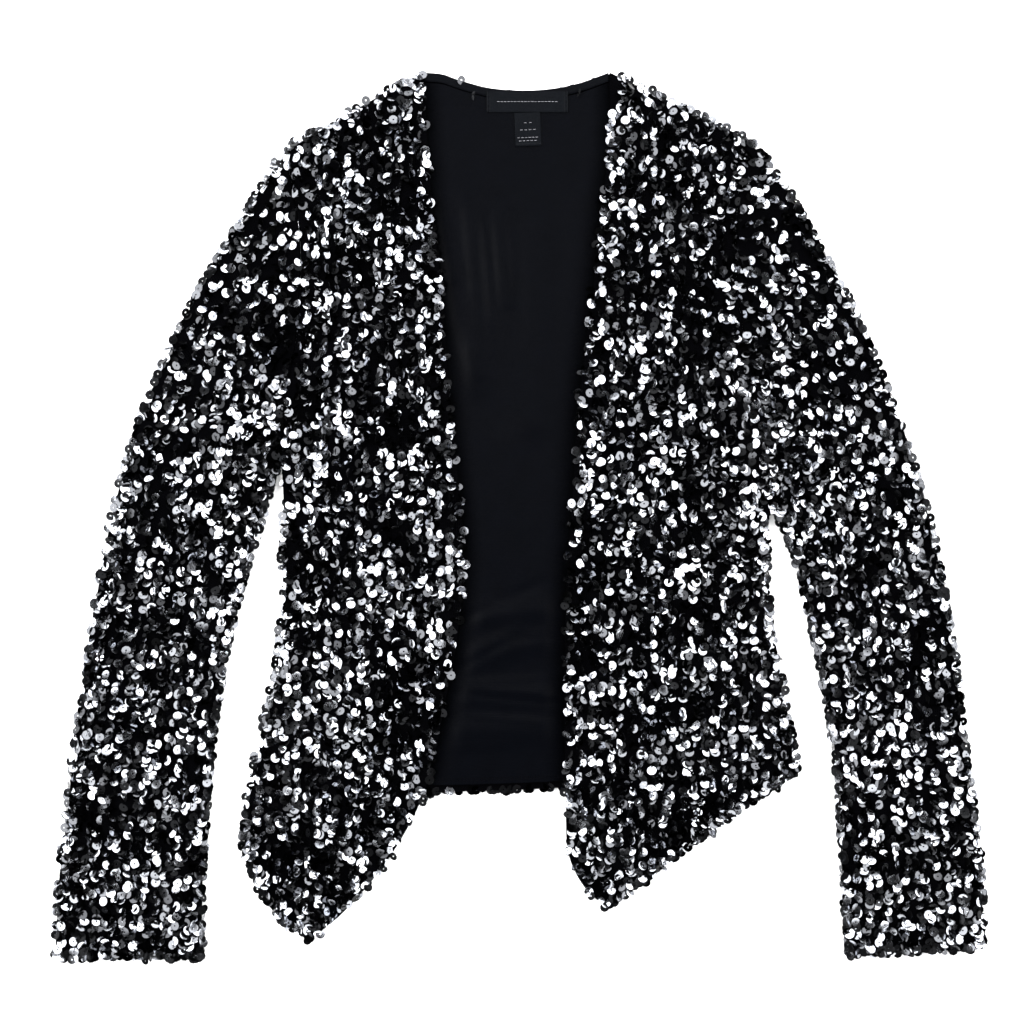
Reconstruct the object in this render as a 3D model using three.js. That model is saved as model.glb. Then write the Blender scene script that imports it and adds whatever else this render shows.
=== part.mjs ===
// An open-front sequined cardigan laid flat on its back, front side up.
// Millimetres. +Z is up from the surface, +Y runs towards the neck, and the wearer's right is at -X.
import * as THREE from 'three';

// Cloth, and how its layers lie on each other.
const shellWall = 2.4; // sequined cloth with its sequins pressed flat
const liningWall = 1.0; // plain jersey
const labelWall = 1.0; // woven tape, folded double
const layerGap = 0.3; // between layers
const seamGap = 0.4; // in plan, between pieces sewn edge to edge
const edgeRoll = 6; // strip beside an edge in which the cloth rolls over
const edgeSoftness = 0.8; // how much thinner a rolled edge is than the cloth
const armpitRoll = 24; // below an armpit, where a side seam reaches the back
const bandWidth = 7; // back neck band
const hemShow = 5; // shell that shows below the lining at the back hem
const floorRampStart = 6; // below the back hem, where a front starts down to the surface
const floorRampEnd = 36;
const creaseClear = 4; // from a front's edge to the lining's nearest crease
const foldFadeIn = 16; // over which a fold rises from an edge
const liningInset = 7; // from the back's side edges

const liningBase = shellWall + layerGap;
const frontBase = liningBase + liningWall + layerGap;
const sleeveDepth = frontBase + shellWall;
const labelBase = frontBase;

// How finely each piece is divided: rows run down it, columns across it.
const frontGrid = { rows: 42, columns: 9 };
const backGrid = { rows: 26, columns: 18 };
const liningGrid = { rows: 56, columns: 14 };
const bandGrid = { rows: 1, columns: 16 };
const sleeveGrid = { rows: 26, columns: 16 };
const columnDraw = 1.5; // above 1, the lining's columns crowd towards its middle
const crossingSteps = 200;

// Seam lines and edges of the laid garment, each from the neck end downwards.
const neckline = [
  { x: -75, y: 345 },
  { x: -60, y: 343.5 },
  { x: -47, y: 339 },
  { x: -24, y: 333 },
  { x: 0, y: 331 },
  { x: 23, y: 332 },
  { x: 46, y: 336.5 },
  { x: 70, y: 345 },
];
const armholeRight = [
  { x: -183, y: 286 },
  { x: -173, y: 236 },
  { x: -170, y: 189 },
  { x: -174, y: 135 },
  { x: -182, y: 88 },
  { x: -185, y: 43 },
];
const armholeLeft = [
  { x: 176, y: 294 },
  { x: 169, y: 236 },
  { x: 169, y: 182 },
  { x: 177, y: 127 },
  { x: 190, y: 72 },
  { x: 195, y: 10 },
];
const sideSeamRight = [
  { x: -185, y: 43 },
  { x: -183.5, y: -6 },
  { x: -185.5, y: -76 },
  { x: -190, y: -123 },
  { x: -200.5, y: -165 },
  { x: -210.5, y: -215 },
];
const sideSeamLeft = [
  { x: 195, y: 10 },
  { x: 192, y: -37 },
  { x: 194.5, y: -84 },
  { x: 202, y: -123 },
  { x: 210.5, y: -162 },
  { x: 217, y: -198 },
];
// The right front hangs below the back hem at its side; the left front ends with the side seam.
const loweredSideRight = [
  { x: -210.5, y: -215 },
  { x: -215, y: -258 },
];
const openingRight = [
  { x: -75, y: 345 },
  { x: -70, y: 267 },
  { x: -60, y: 166 },
  { x: -54, y: 88 },
  { x: -46, y: 10 },
  { x: -43, y: -37 },
  { x: -49, y: -99 },
  { x: -58, y: -146 },
  { x: -73, y: -212 },
  { x: -99, y: -263 },
  { x: -133, y: -305 },
  { x: -163, y: -331 },
];
const openingLeft = [
  { x: 70, y: 345 },
  { x: 70, y: 291 },
  { x: 64, y: 244 },
  { x: 56, y: 166 },
  { x: 46, y: 88 },
  { x: 41, y: 10 },
  { x: 36, y: -68 },
  { x: 35, y: -146 },
  { x: 36, y: -224 },
  { x: 38, y: -263 },
  { x: 50, y: -289 },
  { x: 68, y: -306 },
];
const hemBow = { right: 11, left: 0, back: 7 }; // how far each hem bows out of a straight line

// Sleeve sections from the armhole to the cuff: the two folded edges of the flattened tube.
const sleeveRightSections = [
  { outerX: -183, outerY: 286, innerX: -185, innerY: 43 },
  { outerX: -214, outerY: 236, innerX: -188, innerY: 35 },
  { outerX: -242, outerY: 189, innerX: -192, innerY: 24 },
  { outerX: -267, outerY: 143, innerX: -196, innerY: 8 },
  { outerX: -288, outerY: 96, innerX: -202, innerY: -12 },
  { outerX: -305, outerY: 49, innerX: -210, innerY: -37 },
  { outerX: -320, outerY: -9, innerX: -219, innerY: -72 },
  { outerX: -331, outerY: -68, innerX: -228, innerY: -111 },
  { outerX: -339, outerY: -130, innerX: -235, innerY: -155 },
  { outerX: -347, outerY: -177, innerX: -239, innerY: -189 },
  { outerX: -353, outerY: -232, innerX: -242, innerY: -236 },
  { outerX: -359, outerY: -279, innerX: -245, innerY: -280 },
  { outerX: -362.5, outerY: -343.5, innerX: -246, innerY: -345 },
];
const sleeveLeftSections = [
  { outerX: 176, outerY: 294, innerX: 195, innerY: 10 },
  { outerX: 193, outerY: 277, innerX: 196.5, innerY: 6 },
  { outerX: 210, outerY: 251, innerX: 199, innerY: 1 },
  { outerX: 238, outerY: 204, innerX: 204, innerY: -9 },
  { outerX: 262, outerY: 157, innerX: 210.5, innerY: -24 },
  { outerX: 283, outerY: 110, innerX: 216, innerY: -41 },
  { outerX: 301, outerY: 63, innerX: 221.5, innerY: -66 },
  { outerX: 317, outerY: 8, innerX: 228.5, innerY: -99 },
  { outerX: 329, outerY: -46, innerX: 235.5, innerY: -130 },
  { outerX: 339, outerY: -107, innerX: 241, innerY: -163 },
  { outerX: 346, outerY: -169, innerX: 245.5, innerY: -197 },
  { outerX: 354, outerY: -228, innerX: 248.5, innerY: -240 },
  { outerX: 360, outerY: -279, innerX: 251, innerY: -285 },
  { outerX: 362.5, outerY: -337, innerX: 254, innerY: -341.5 },
];

// Soft ridges in the laid cloth: drag folds at the underarms, long ones down the fronts and sleeves.
const shellFolds = [
  { fromX: -191, fromY: 102, toX: -94, toY: 127, width: 17, rise: 1.6 },
  { fromX: -180, fromY: 45, toX: -98, toY: 84, width: 16, rise: 1.3 },
  { fromX: -262, fromY: 92, toX: -191, toY: 102, width: 17, rise: 1.6 },
  { fromX: -141, fromY: 38, toX: -133, toY: -146, width: 20, rise: 1.0 },
  { fromX: -149, fromY: -152, toX: -157, toY: -292, width: 20, rise: 1.2 },
  { fromX: 190, fromY: 76, toX: 132, toY: 143, width: 17, rise: 1.6 },
  { fromX: 250, fromY: 94, toX: 190, toY: 76, width: 17, rise: 1.6 },
  { fromX: 192, fromY: 26, toX: 128, toY: 88, width: 15, rise: 1.2 },
  { fromX: 109, fromY: 48, toX: 101, toY: -146, width: 20, rise: 1.0 },
  { fromX: 155, fromY: -68, toX: 171, toY: -182, width: 18, rise: 1.1 },
  { fromX: 66, fromY: -107, toX: 68, toY: -272, width: 16, rise: 1.1 },
  { fromX: -274, fromY: 48, toX: -302, toY: -132, width: 22, rise: 1.2 },
  { fromX: -300, fromY: -172, toX: -308, toY: -312, width: 22, rise: 1.0 },
  { fromX: 272, fromY: 48, toX: 292, toY: -132, width: 22, rise: 1.2 },
  { fromX: 300, fromY: -172, toX: 306, toY: -312, width: 22, rise: 1.0 },
];
// Creases of the lining in the neck opening: long soft ones above, level ones above the hem.
const liningFolds = [
  { fromX: -40, fromY: 244, toX: -32, toY: 104, width: 11, rise: 0.9 },
  { fromX: 15, fromY: 228, toX: 11, toY: 72, width: 12, rise: 0.9 },
  { fromX: -8, fromY: 58, toX: 6, toY: -62, width: 12, rise: 0.8 },
  { fromX: -44, fromY: -80, toX: 24, toY: -74, width: 9, rise: 1.3 },
  { fromX: -46, fromY: -114, toX: 32, toY: -92, width: 9, rise: 1.4 },
  { fromX: -54, fromY: -138, toX: 32, toY: -140, width: 9, rise: 1.6 },
  { fromX: -60, fromY: -168, toX: 28, toY: -166, width: 11, rise: 1.2 },
];

const neckLabel = { width: 63, height: 16, x: 6, top: 330 };
const sizeTab = { width: 20, height: 26, x: 6.5, tilt: 0.04 };

const palette = {
  sequinCloth: new THREE.MeshStandardMaterial({ color: 0x1b1c20, metalness: 0.5, roughness: 0.35 }),
  lining: new THREE.MeshStandardMaterial({ color: 0x101116, metalness: 0, roughness: 0.85 }),
  label: new THREE.MeshStandardMaterial({ color: 0x0b0b0e, metalness: 0, roughness: 0.5 }),
};

const { clamp, lerp, smoothstep } = THREE.MathUtils;

// A smooth line through a table's points, read by its share of length.
function seamLine(points) {
  const vectors = points.map(({ x, y }) => new THREE.Vector3(x, y, 0));
  const curve = new THREE.CatmullRomCurve3(vectors, false, 'catmullrom', 0.5);
  return { length: curve.getLength(), at: (share) => curve.getPointAt(share) };
}

// Lines sewn end to end, read as one.
function joined(...lines) {
  const length = lines.reduce((sum, line) => sum + line.length, 0);
  const at = (share) => {
    let left = share * length;
    const line = lines.find((each, index) => {
      if (left <= each.length || index === lines.length - 1) return true;
      left -= each.length;
      return false;
    });
    return line.at(Math.min(left / line.length, 1));
  };
  return { length, at };
}

function ridgeHeight(folds, x, y) {
  const point = new THREE.Vector3(x, y, 0);
  const nearest = new THREE.Vector3();
  return folds.reduce((sum, fold) => {
    const crest = new THREE.Line3(
      new THREE.Vector3(fold.fromX, fold.fromY, 0),
      new THREE.Vector3(fold.toX, fold.toY, 0),
    );
    const away = crest.closestPointToPoint(point, true, nearest).distanceTo(point);
    return sum + fold.rise * Math.exp(-((away / fold.width) ** 2));
  }, 0);
}

const equalStops = (count) => Array.from({ length: count + 1 }, (_, i) => i / count);

// Stops from 0 to 1 with one a roll's width inside each end.
function divisions(count, length) {
  const roll = edgeRoll / length;
  const inner = equalStops(count - 2).map((stop) => lerp(roll, 1 - roll, stop));
  return [0, ...inner, 1];
}

// Plan points of a panel between its left and right lines, each with its distance from every edge.
function panelPlan({ left, right, bend, rowStops, columnStops }) {
  const length = (left.length + right.length) / 2;
  return rowStops.map((along) => {
    const start = left.at(along);
    const end = right.at(along);
    const width = start.distanceTo(end);
    return columnStops(width).map((across) => {
      const point = start.clone().lerp(end, across).add(bend(across, along));
      return {
        x: point.x,
        y: point.y,
        fromLeft: across * width,
        fromRight: (1 - across) * width,
        fromTop: along * length,
        fromBottom: (1 - along) * length,
      };
    });
  });
}

function closedGeometry(vertices, faces) {
  const geometry = new THREE.BufferGeometry();
  geometry.setAttribute('position', new THREE.Float32BufferAttribute(vertices.flat(), 3));
  geometry.setIndex(faces.flat());
  geometry.computeVertexNormals();
  return geometry;
}

const quad = (a, b, c, d) => [a, b, c, a, c, d];

// A closed wall of cloth between a lower and an upper height over one plan.
function clothSheet(plan, heights) {
  const rows = plan.length;
  const columns = plan[0].length;
  const points = plan.flat();
  const levels = points.map(heights);
  const upper = points.map((p, i) => [p.x, p.y, levels[i].upper]);
  const lower = points.map((p, i) => [p.x, p.y, levels[i].lower]);
  const top = (row, column) => row * columns + column;
  const under = (row, column) => top(row, column) + points.length;
  const faces = [];
  for (let r = 0; r < rows - 1; r++) {
    for (let c = 0; c < columns - 1; c++) {
      faces.push(quad(top(r, c), top(r + 1, c), top(r + 1, c + 1), top(r, c + 1)));
      faces.push(quad(under(r, c), under(r, c + 1), under(r + 1, c + 1), under(r + 1, c)));
    }
    faces.push(quad(top(r, 0), under(r, 0), under(r + 1, 0), top(r + 1, 0)));
    const last = columns - 1;
    faces.push(quad(top(r, last), top(r + 1, last), under(r + 1, last), under(r, last)));
  }
  for (let c = 0; c < columns - 1; c++) {
    faces.push(quad(top(0, c), top(0, c + 1), under(0, c + 1), under(0, c)));
    const last = rows - 1;
    faces.push(quad(top(last, c), under(last, c), under(last, c + 1), top(last, c + 1)));
  }
  return closedGeometry([...upper, ...lower], faces);
}

// Half the depth of a flattened tube at a distance from its nearer folded edge.
function roundedHalf(half, fromEdge) {
  const short = clamp((half - fromEdge) / half, 0, 1);
  return half * Math.sqrt(1 - short * short);
}

// A flattened tube, open at both ends, from matching rows of plan points.
function clothTube(rings) {
  const around = rings[0].length;
  const count = rings.length * around;
  const outer = rings.flat().map((p) => p.outer);
  const inner = rings.flat().map((p) => p.inner);
  const out = (ring, i) => ring * around + (i % around);
  const into = (ring, i) => out(ring, i) + count;
  const faces = [];
  const last = rings.length - 1;
  for (let i = 0; i < around; i++) {
    for (let r = 0; r < last; r++) {
      faces.push(quad(out(r, i), out(r + 1, i), out(r + 1, i + 1), out(r, i + 1)));
      faces.push(quad(into(r, i), into(r, i + 1), into(r + 1, i + 1), into(r + 1, i)));
    }
    faces.push(quad(out(0, i), out(0, i + 1), into(0, i + 1), into(0, i)));
    faces.push(quad(out(last, i), into(last, i), into(last, i + 1), out(last, i + 1)));
  }
  return closedGeometry([...outer, ...inner], faces);
}

// One ring of a sleeve: over the top from the left folded edge to the right one, and back beneath.
function sleeveRing(start, end, planAt) {
  const half = sleeveDepth / 2;
  const innerHalf = half - shellWall;
  const width = start.distanceTo(end);
  const steps = sleeveGrid.columns;
  const stop = (i) => (1 - Math.cos((Math.PI * i) / steps)) / 2;
  const pointAt = (across, inset, halfDepth, side) => {
    const share = lerp(inset / width, 1 - inset / width, across);
    const fromEdge = Math.min(share, 1 - share) * width - inset;
    const { x, y } = planAt(share);
    const fold = side > 0 ? ridgeHeight(shellFolds, x, y) * smoothstep(fromEdge, 0, foldFadeIn) : 0;
    return [x, y, half + side * roundedHalf(halfDepth, fromEdge) + fold];
  };
  const both = (across, side) => ({
    outer: pointAt(across, 0, half, side),
    inner: pointAt(across, shellWall, innerHalf, side),
  });
  const over = Array.from({ length: steps + 1 }, (_, i) => both(stop(i), 1));
  const beneath = Array.from({ length: steps - 1 }, (_, i) => both(stop(steps - 1 - i), -1));
  return [...over, ...beneath];
}

// A sleeve's first ring follows the armhole, and its last ring is the cuff.
function sleeveGeometry(sections, armhole, side) {
  const outerLine = sections.map((row) => new THREE.Vector3(row.outerX, row.outerY, 0));
  const innerLine = sections.map((row) => new THREE.Vector3(row.innerX, row.innerY, 0));
  const outerCurve = new THREE.CatmullRomCurve3(outerLine, false, 'catmullrom', 0.5);
  const innerCurve = new THREE.CatmullRomCurve3(innerLine, false, 'catmullrom', 0.5);
  const clear = new THREE.Vector3(side * seamGap, 0, 0);
  const rings = Array.from({ length: sleeveGrid.rows + 1 }, (_, row) => {
    const along = row / sleeveGrid.rows;
    const outer = outerCurve.getPoint(along).add(clear);
    const inner = innerCurve.getPoint(along).add(clear);
    const [start, end] = side < 0 ? [outer, inner] : [inner, outer];
    const planAt = (share) => {
      const fromOuter = side < 0 ? share : 1 - share;
      const straight = outerLine[0].clone().lerp(innerLine[0], fromOuter);
      const bow = armhole.at(fromOuter).sub(straight).multiplyScalar((1 - along) ** 2);
      return start.clone().lerp(end, share).add(bow);
    };
    return sleeveRing(start, end, planAt);
  });
  return clothTube(rings);
}

// A hem that bows below the straight line between its corners.
function bowedHem(depth, direction) {
  return (across, along) =>
    direction.clone().multiplyScalar(depth * 4 * across * (1 - across) * along ** 4);
}

const armholes = { right: seamLine(armholeRight), left: seamLine(armholeLeft) };
const sides = { right: seamLine(sideSeamRight), left: seamLine(sideSeamLeft) };
const openings = { right: seamLine(openingRight), left: seamLine(openingLeft) };
const neck = seamLine(neckline);
const bodyRight = joined(armholes.right, sides.right);
const bodyLeft = joined(armholes.left, sides.left);

// The back's top edge rises from both shoulder tips to the neck and dips along the neckline.
const tipRight = armholes.right.at(0);
const tipLeft = armholes.left.at(0);
const shoulderShare = (point) => (point.x - tipRight.x) / (tipLeft.x - tipRight.x);
const neckShare = { right: shoulderShare(neck.at(0)), left: shoulderShare(neck.at(1)) };
function backTopRise(across) {
  const straight = tipRight.clone().lerp(tipLeft, across);
  const top = new THREE.Vector3();
  if (across < neckShare.right) {
    top.lerpVectors(tipRight, neck.at(0), across / neckShare.right);
  } else if (across > neckShare.left) {
    top.lerpVectors(neck.at(1), tipLeft, (across - neckShare.left) / (1 - neckShare.left));
  } else {
    const share = (across - neckShare.right) / (neckShare.left - neckShare.right);
    top.copy(neck.at(share));
  }
  return top.sub(straight);
}

const down = new THREE.Vector3(0, -1, 0);
const backHem = bowedHem(hemBow.back, down);
const backBend = (across, along) =>
  backTopRise(across)
    .multiplyScalar(1 - along)
    .add(backHem(across, along));

function backHemY(x) {
  const right = sides.right.at(1);
  const left = sides.left.at(1);
  const across = clamp((x - right.x) / (left.x - right.x), 0, 1);
  return lerp(right.y, left.y, across) + backHem(across, 1).y;
}

const backLines = { left: bodyRight, right: bodyLeft, bend: backBend };
const backLength = (bodyRight.length + bodyLeft.length) / 2;

// Equal columns in each of the three stretches of the back's top edge, so it keeps its corners.
function backColumns() {
  const stretch = (from, to) => {
    const count = Math.round(backGrid.columns * (to - from));
    return Array.from({ length: count }, (_, i) => lerp(from, to, i / count));
  };
  const { right, left } = neckShare;
  return [...stretch(0, right), ...stretch(right, left), ...stretch(left, 1), 1];
}

function backGeometry() {
  const rowStops = divisions(backGrid.rows, backLength);
  const plan = panelPlan({ ...backLines, rowStops, columnStops: backColumns });
  return clothSheet(plan, () => ({ lower: 0, upper: shellWall }));
}

// The lining lies just inside the back's edges, from below the neck band to above the hem.
function liningGeometry() {
  const first = (bandWidth + layerGap) / backLength;
  const last = 1 - hemShow / backLength;
  const rowStops = equalStops(liningGrid.rows).map((stop) => lerp(first, last, stop));
  const columnStops = (width) =>
    equalStops(liningGrid.columns).map((stop) =>
      lerp(liningInset / width, 1 - liningInset / width, liningColumn(stop)),
    );
  const plan = panelPlan({ ...backLines, rowStops, columnStops });
  return clothSheet(plan, ({ x, y }) => {
    const lower = liningBase + ridgeHeight(liningFolds, x, y) * seenLining(x, y);
    return { lower, upper: lower + liningWall };
  });
}

// Draws the lining's columns in towards the opening, where its creases show.
function liningColumn(share) {
  const fromMiddle = 2 * share - 1;
  const drawnIn = Math.sign(fromMiddle) * Math.abs(fromMiddle) ** columnDraw;
  return 0.5 + drawnIn / 2;
}

// Where a line that runs down the garment crosses a height.
function crossingX(line, y) {
  const nearest = equalStops(crossingSteps)
    .map((share) => line.at(share))
    .reduce((best, point) => (Math.abs(point.y - y) < Math.abs(best.y - y) ? point : best));
  return nearest.x;
}

// 1 in the open part of the neck, and 0 under and beside the fronts.
function seenLining(x, y) {
  const fromRight = x - crossingX(openings.right, y);
  const fromLeft = crossingX(openings.left, y) - x;
  return smoothstep(Math.min(fromRight, fromLeft), creaseClear, creaseClear + foldFadeIn);
}

function bandGeometry() {
  const inset = (2 * seamGap) / neck.length;
  const plan = equalStops(bandGrid.rows).map((down) =>
    equalStops(bandGrid.columns).map((stop) => {
      const point = neck.at(lerp(inset, 1 - inset, stop));
      return { x: point.x, y: point.y - bandWidth * down };
    }),
  );
  return clothSheet(plan, () => ({ lower: liningBase, upper: liningBase + liningWall }));
}

// A front lies on the lining, rolls down to the back at its seams, and meets the surface below the hem.
function frontGeometry({ left, right, bend, sideIsLeft, armpitY }) {
  const rowStops = divisions(frontGrid.rows, (left.length + right.length) / 2);
  const columnStops = (width) => divisions(frontGrid.columns, width);
  const plan = panelPlan({ left, right, bend, rowStops, columnStops });
  const seamDrop = liningWall + layerGap;
  return clothSheet(plan, (p) => {
    const [fromSide, fromOpening] = sideIsLeft ? [p.fromLeft, p.fromRight] : [p.fromRight, p.fromLeft];
    const belowArmpit = smoothstep(armpitY - p.y, 0, armpitRoll);
    const sideRoll = belowArmpit * (1 - smoothstep(fromSide, 0, edgeRoll));
    const shoulderRoll = 1 - smoothstep(p.fromTop, 0, edgeRoll);
    const fold = ridgeHeight(shellFolds, p.x, p.y);
    const onBack = frontBase + fold - seamDrop * Math.max(sideRoll, shoulderRoll);
    const toFloor = smoothstep(backHemY(p.x) - p.y, floorRampStart, floorRampEnd);
    const lower = lerp(onBack, 0, toFloor);
    const fromFreeEdge = Math.min(fromOpening, p.fromBottom);
    const softened = edgeSoftness * (1 - smoothstep(fromFreeEdge, 0, edgeRoll));
    const foldOnFloor = fold * toFloor * smoothstep(fromFreeEdge, 0, foldFadeIn);
    return { lower, upper: lower + shellWall - softened + foldOnFloor };
  });
}

function tape({ width, height }) {
  return new THREE.BoxGeometry(width, height, labelWall);
}

function named(name, geometry, material) {
  const mesh = new THREE.Mesh(geometry, material);
  mesh.name = name;
  return mesh;
}

const hemOut = new THREE.Vector3(-0.8, -0.6, 0);
const frontRight = frontGeometry({
  left: joined(armholes.right, sides.right, seamLine(loweredSideRight)),
  right: openings.right,
  bend: bowedHem(hemBow.right, hemOut),
  sideIsLeft: true,
  armpitY: armholes.right.at(1).y,
});
const frontLeft = frontGeometry({
  left: openings.left,
  right: bodyLeft,
  bend: bowedHem(hemBow.left, down),
  sideIsLeft: false,
  armpitY: armholes.left.at(1).y,
});

const label = named('neck_label', tape(neckLabel), palette.label);
const labelMiddle = labelBase + labelWall / 2;
label.position.set(neckLabel.x, neckLabel.top - neckLabel.height / 2, labelMiddle);
const tab = named('size_tab', tape(sizeTab), palette.label);
const tabTop = neckLabel.top - neckLabel.height - seamGap;
tab.position.set(sizeTab.x, tabTop - sizeTab.height / 2, labelMiddle);
tab.rotation.z = sizeTab.tilt;

const cardigan = new THREE.Group();
cardigan.name = 'cardigan';
cardigan.add(
  named('back', backGeometry(), palette.sequinCloth),
  named('back_lining', liningGeometry(), palette.lining),
  named('neck_band', bandGeometry(), palette.lining),
  named('front_right', frontRight, palette.sequinCloth),
  named('front_left', frontLeft, palette.sequinCloth),
  named('sleeve_right', sleeveGeometry(sleeveRightSections, armholes.right, -1), palette.sequinCloth),
  named('sleeve_left', sleeveGeometry(sleeveLeftSections, armholes.left, 1), palette.sequinCloth),
  label,
  tab,
);

export default cardigan;
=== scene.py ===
import math

import bpy
import numpy as np
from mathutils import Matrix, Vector


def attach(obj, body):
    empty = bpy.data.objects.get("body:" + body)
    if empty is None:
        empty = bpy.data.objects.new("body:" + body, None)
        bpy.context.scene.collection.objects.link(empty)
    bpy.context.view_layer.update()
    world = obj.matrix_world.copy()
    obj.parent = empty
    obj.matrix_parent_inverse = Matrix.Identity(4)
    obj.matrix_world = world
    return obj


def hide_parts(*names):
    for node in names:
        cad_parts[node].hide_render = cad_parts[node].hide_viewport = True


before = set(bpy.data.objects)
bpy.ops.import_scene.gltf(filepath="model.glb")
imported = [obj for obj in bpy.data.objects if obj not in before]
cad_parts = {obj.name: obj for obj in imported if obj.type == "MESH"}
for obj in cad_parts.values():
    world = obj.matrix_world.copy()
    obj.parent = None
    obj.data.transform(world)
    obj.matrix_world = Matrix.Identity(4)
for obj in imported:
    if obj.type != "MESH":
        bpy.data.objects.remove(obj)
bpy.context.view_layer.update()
print("frame loaded")

mm = 0.001
degree = math.pi / 180

# how the cloth lies, in millimetres, as in the solids that it covers
lay = {
    "wall": 2.4,  # sequined cloth with its sequins
    "liningWall": 1.0,
    "groundWall": 0.9,  # the knit that the sequins are sewn to
    "gap": 0.3,  # between layers
    "seam": 0.4,
    "edgeRoll": 6.0,
    "armpitRoll": 24.0,
    "rampStart": 6.0,
    "rampEnd": 36.0,
    "foldFadeIn": 16.0,
    "groundLift": 0.1,  # the ground stands this much off the solid's underside
}
liningBase = lay["wall"] + lay["gap"]
frontBase = liningBase + lay["liningWall"] + lay["gap"]
sleeveDepth = frontBase + lay["wall"]
# points down and across each cloth
grids = {"front": (150, 34), "back": (70, 60), "lining": (200, 96), "binding": (12, 160)}

# seam lines and edges in plan, x and y in millimetres, each from the neck end down
neckline = [
    (-75, 345), (-60, 343.5), (-47, 339), (-24, 333), (0, 331), (23, 332),
    (46, 336.5), (70, 345),
]
armholeRight = [(-183, 286), (-173, 236), (-170, 189), (-174, 135), (-182, 88), (-185, 43)]
armholeLeft = [(176, 294), (169, 236), (169, 182), (177, 127), (190, 72), (195, 10)]
sideRight = [(-185, 43), (-183.5, -6), (-185.5, -76), (-190, -123), (-200.5, -165), (-210.5, -215)]
sideLeft = [(195, 10), (192, -37), (194.5, -84), (202, -123), (210.5, -162), (217, -198)]
loweredSideRight = [(-210.5, -215), (-215, -258)]
openingRight = [
    (-75, 345), (-70, 267), (-60, 166), (-54, 88), (-46, 10), (-43, -37),
    (-49, -99), (-58, -146), (-73, -212), (-99, -263), (-133, -305), (-163, -331),
]
openingLeft = [
    (70, 345), (70, 291), (64, 244), (56, 166), (46, 88), (41, 10),
    (36, -68), (35, -146), (36, -224), (38, -263), (50, -289), (68, -306),
]
sleeveRightOuter = [
    (-183, 286), (-214, 236), (-242, 189), (-267, 143), (-288, 96), (-305, 49),
    (-320, -9), (-331, -68), (-339, -130), (-347, -177), (-353, -232), (-359, -279),
    (-362.5, -343.5),
]
sleeveRightInner = [
    (-185, 43), (-188, 35), (-192, 24), (-196, 8), (-202, -12), (-210, -37),
    (-219, -72), (-228, -111), (-235, -155), (-239, -189), (-242, -236), (-245, -280),
    (-246, -345),
]
sleeveLeftOuter = [
    (176, 294), (193, 277), (210, 251), (238, 204), (262, 157), (283, 110),
    (301, 63), (317, 8), (329, -46), (339, -107), (346, -169), (354, -228),
    (360, -279), (362.5, -337),
]
sleeveLeftInner = [
    (195, 10), (196.5, 6), (199, 1), (204, -9), (210.5, -24), (216, -41),
    (221.5, -66), (228.5, -99), (235.5, -130), (241, -163), (245.5, -197), (248.5, -240),
    (251, -285), (254, -341.5),
]

# soft ridges: from x, from y, to x, to y, half width, rise
shellFolds = [
    (-191, 102, -94, 127, 17, 1.6),
    (-180, 45, -98, 84, 16, 1.3),
    (-262, 92, -191, 102, 17, 1.6),
    (-141, 38, -133, -146, 20, 1.0),
    (-149, -152, -157, -292, 20, 1.2),
    (190, 76, 132, 143, 17, 1.6),
    (250, 94, 190, 76, 17, 1.6),
    (192, 26, 128, 88, 15, 1.2),
    (109, 48, 101, -146, 20, 1.0),
    (155, -68, 171, -182, 18, 1.1),
    (66, -107, 68, -272, 16, 1.1),
    (-274, 48, -302, -132, 22, 1.2),
    (-300, -172, -308, -312, 22, 1.0),
    (272, 48, 292, -132, 22, 1.2),
    (300, -172, 306, -312, 22, 1.0),
]
liningFolds = [
    (-40, 244, -32, 104, 11, 0.9),
    (15, 228, 11, 72, 12, 0.9),
    (-8, 58, 6, -62, 12, 0.8),
    (-44, -80, 24, -74, 9, 1.3),
    (-46, -114, 32, -92, 9, 1.4),
    (-54, -138, 32, -140, 9, 1.6),
    (-60, -168, 28, -166, 11, 1.2),
]
# soft creases that the solids leave out, on the lining: a rise below nothing is a trough
liningCreases = [
    (-70, 262, -50, 180, 8.0, 1.5),
    (-56, 200, -32, 104, 8.0, 1.5),
    (-50, 246, -40, 130, 5.0, -1.0),
    (-38, 240, -28, 120, 5.5, 0.9),
    (-26, 236, -19, 150, 4.6, -1.0),
    (-18, 250, -8, 160, 7.0, 1.1),
    (-5, 240, 0, 130, 7.0, -0.7),
    (-50, -84, -20, -70, 3.0, -0.8),
    (-20, -70, 22, -50, 4.0, -0.4),
    (-50, -121, -8, -98, 3.0, -0.9),
    (-8, -98, 30, -94, 4.0, -0.5),
    (-40, -107, 6, -84, 5.0, 0.6),
    (-50, -130, 26, -126, 2.4, 0.35),
    (-54, -138, 34, -146, 2.6, -1.0),
    (-46, -155, 34, -162, 1.8, 0.45),
    (-60, -182, 0, -177, 2.8, 0.3),
]


def equal(count):
    return np.linspace(0, 1, count)


# eases from 0 at the start to 1 at the end
def ramp(value, start, end):
    share = np.clip((np.asarray(value, float) - start) / (end - start), 0, 1)
    return share * share * (3 - 2 * share)


# a smooth line through a table's points, finely divided
def smoothLine(points, steps=24):
    p = np.array(points, float)
    p = np.vstack([2 * p[0] - p[1], p, 2 * p[-1] - p[-2]])
    t = np.linspace(0, 1, steps, endpoint=False)[:, None]
    spans = []
    for before, start, end, after in zip(p, p[1:], p[2:], p[3:]):
        leave = (end - before) / 2
        arrive = (after - start) / 2
        curve = (2 * t**3 - 3 * t**2 + 1) * start + (t**3 - 2 * t**2 + t) * leave
        spans.append(curve + (3 * t**2 - 2 * t**3) * end + (t**3 - t**2) * arrive)
    return np.vstack([*spans, p[-2:-1]])


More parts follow.
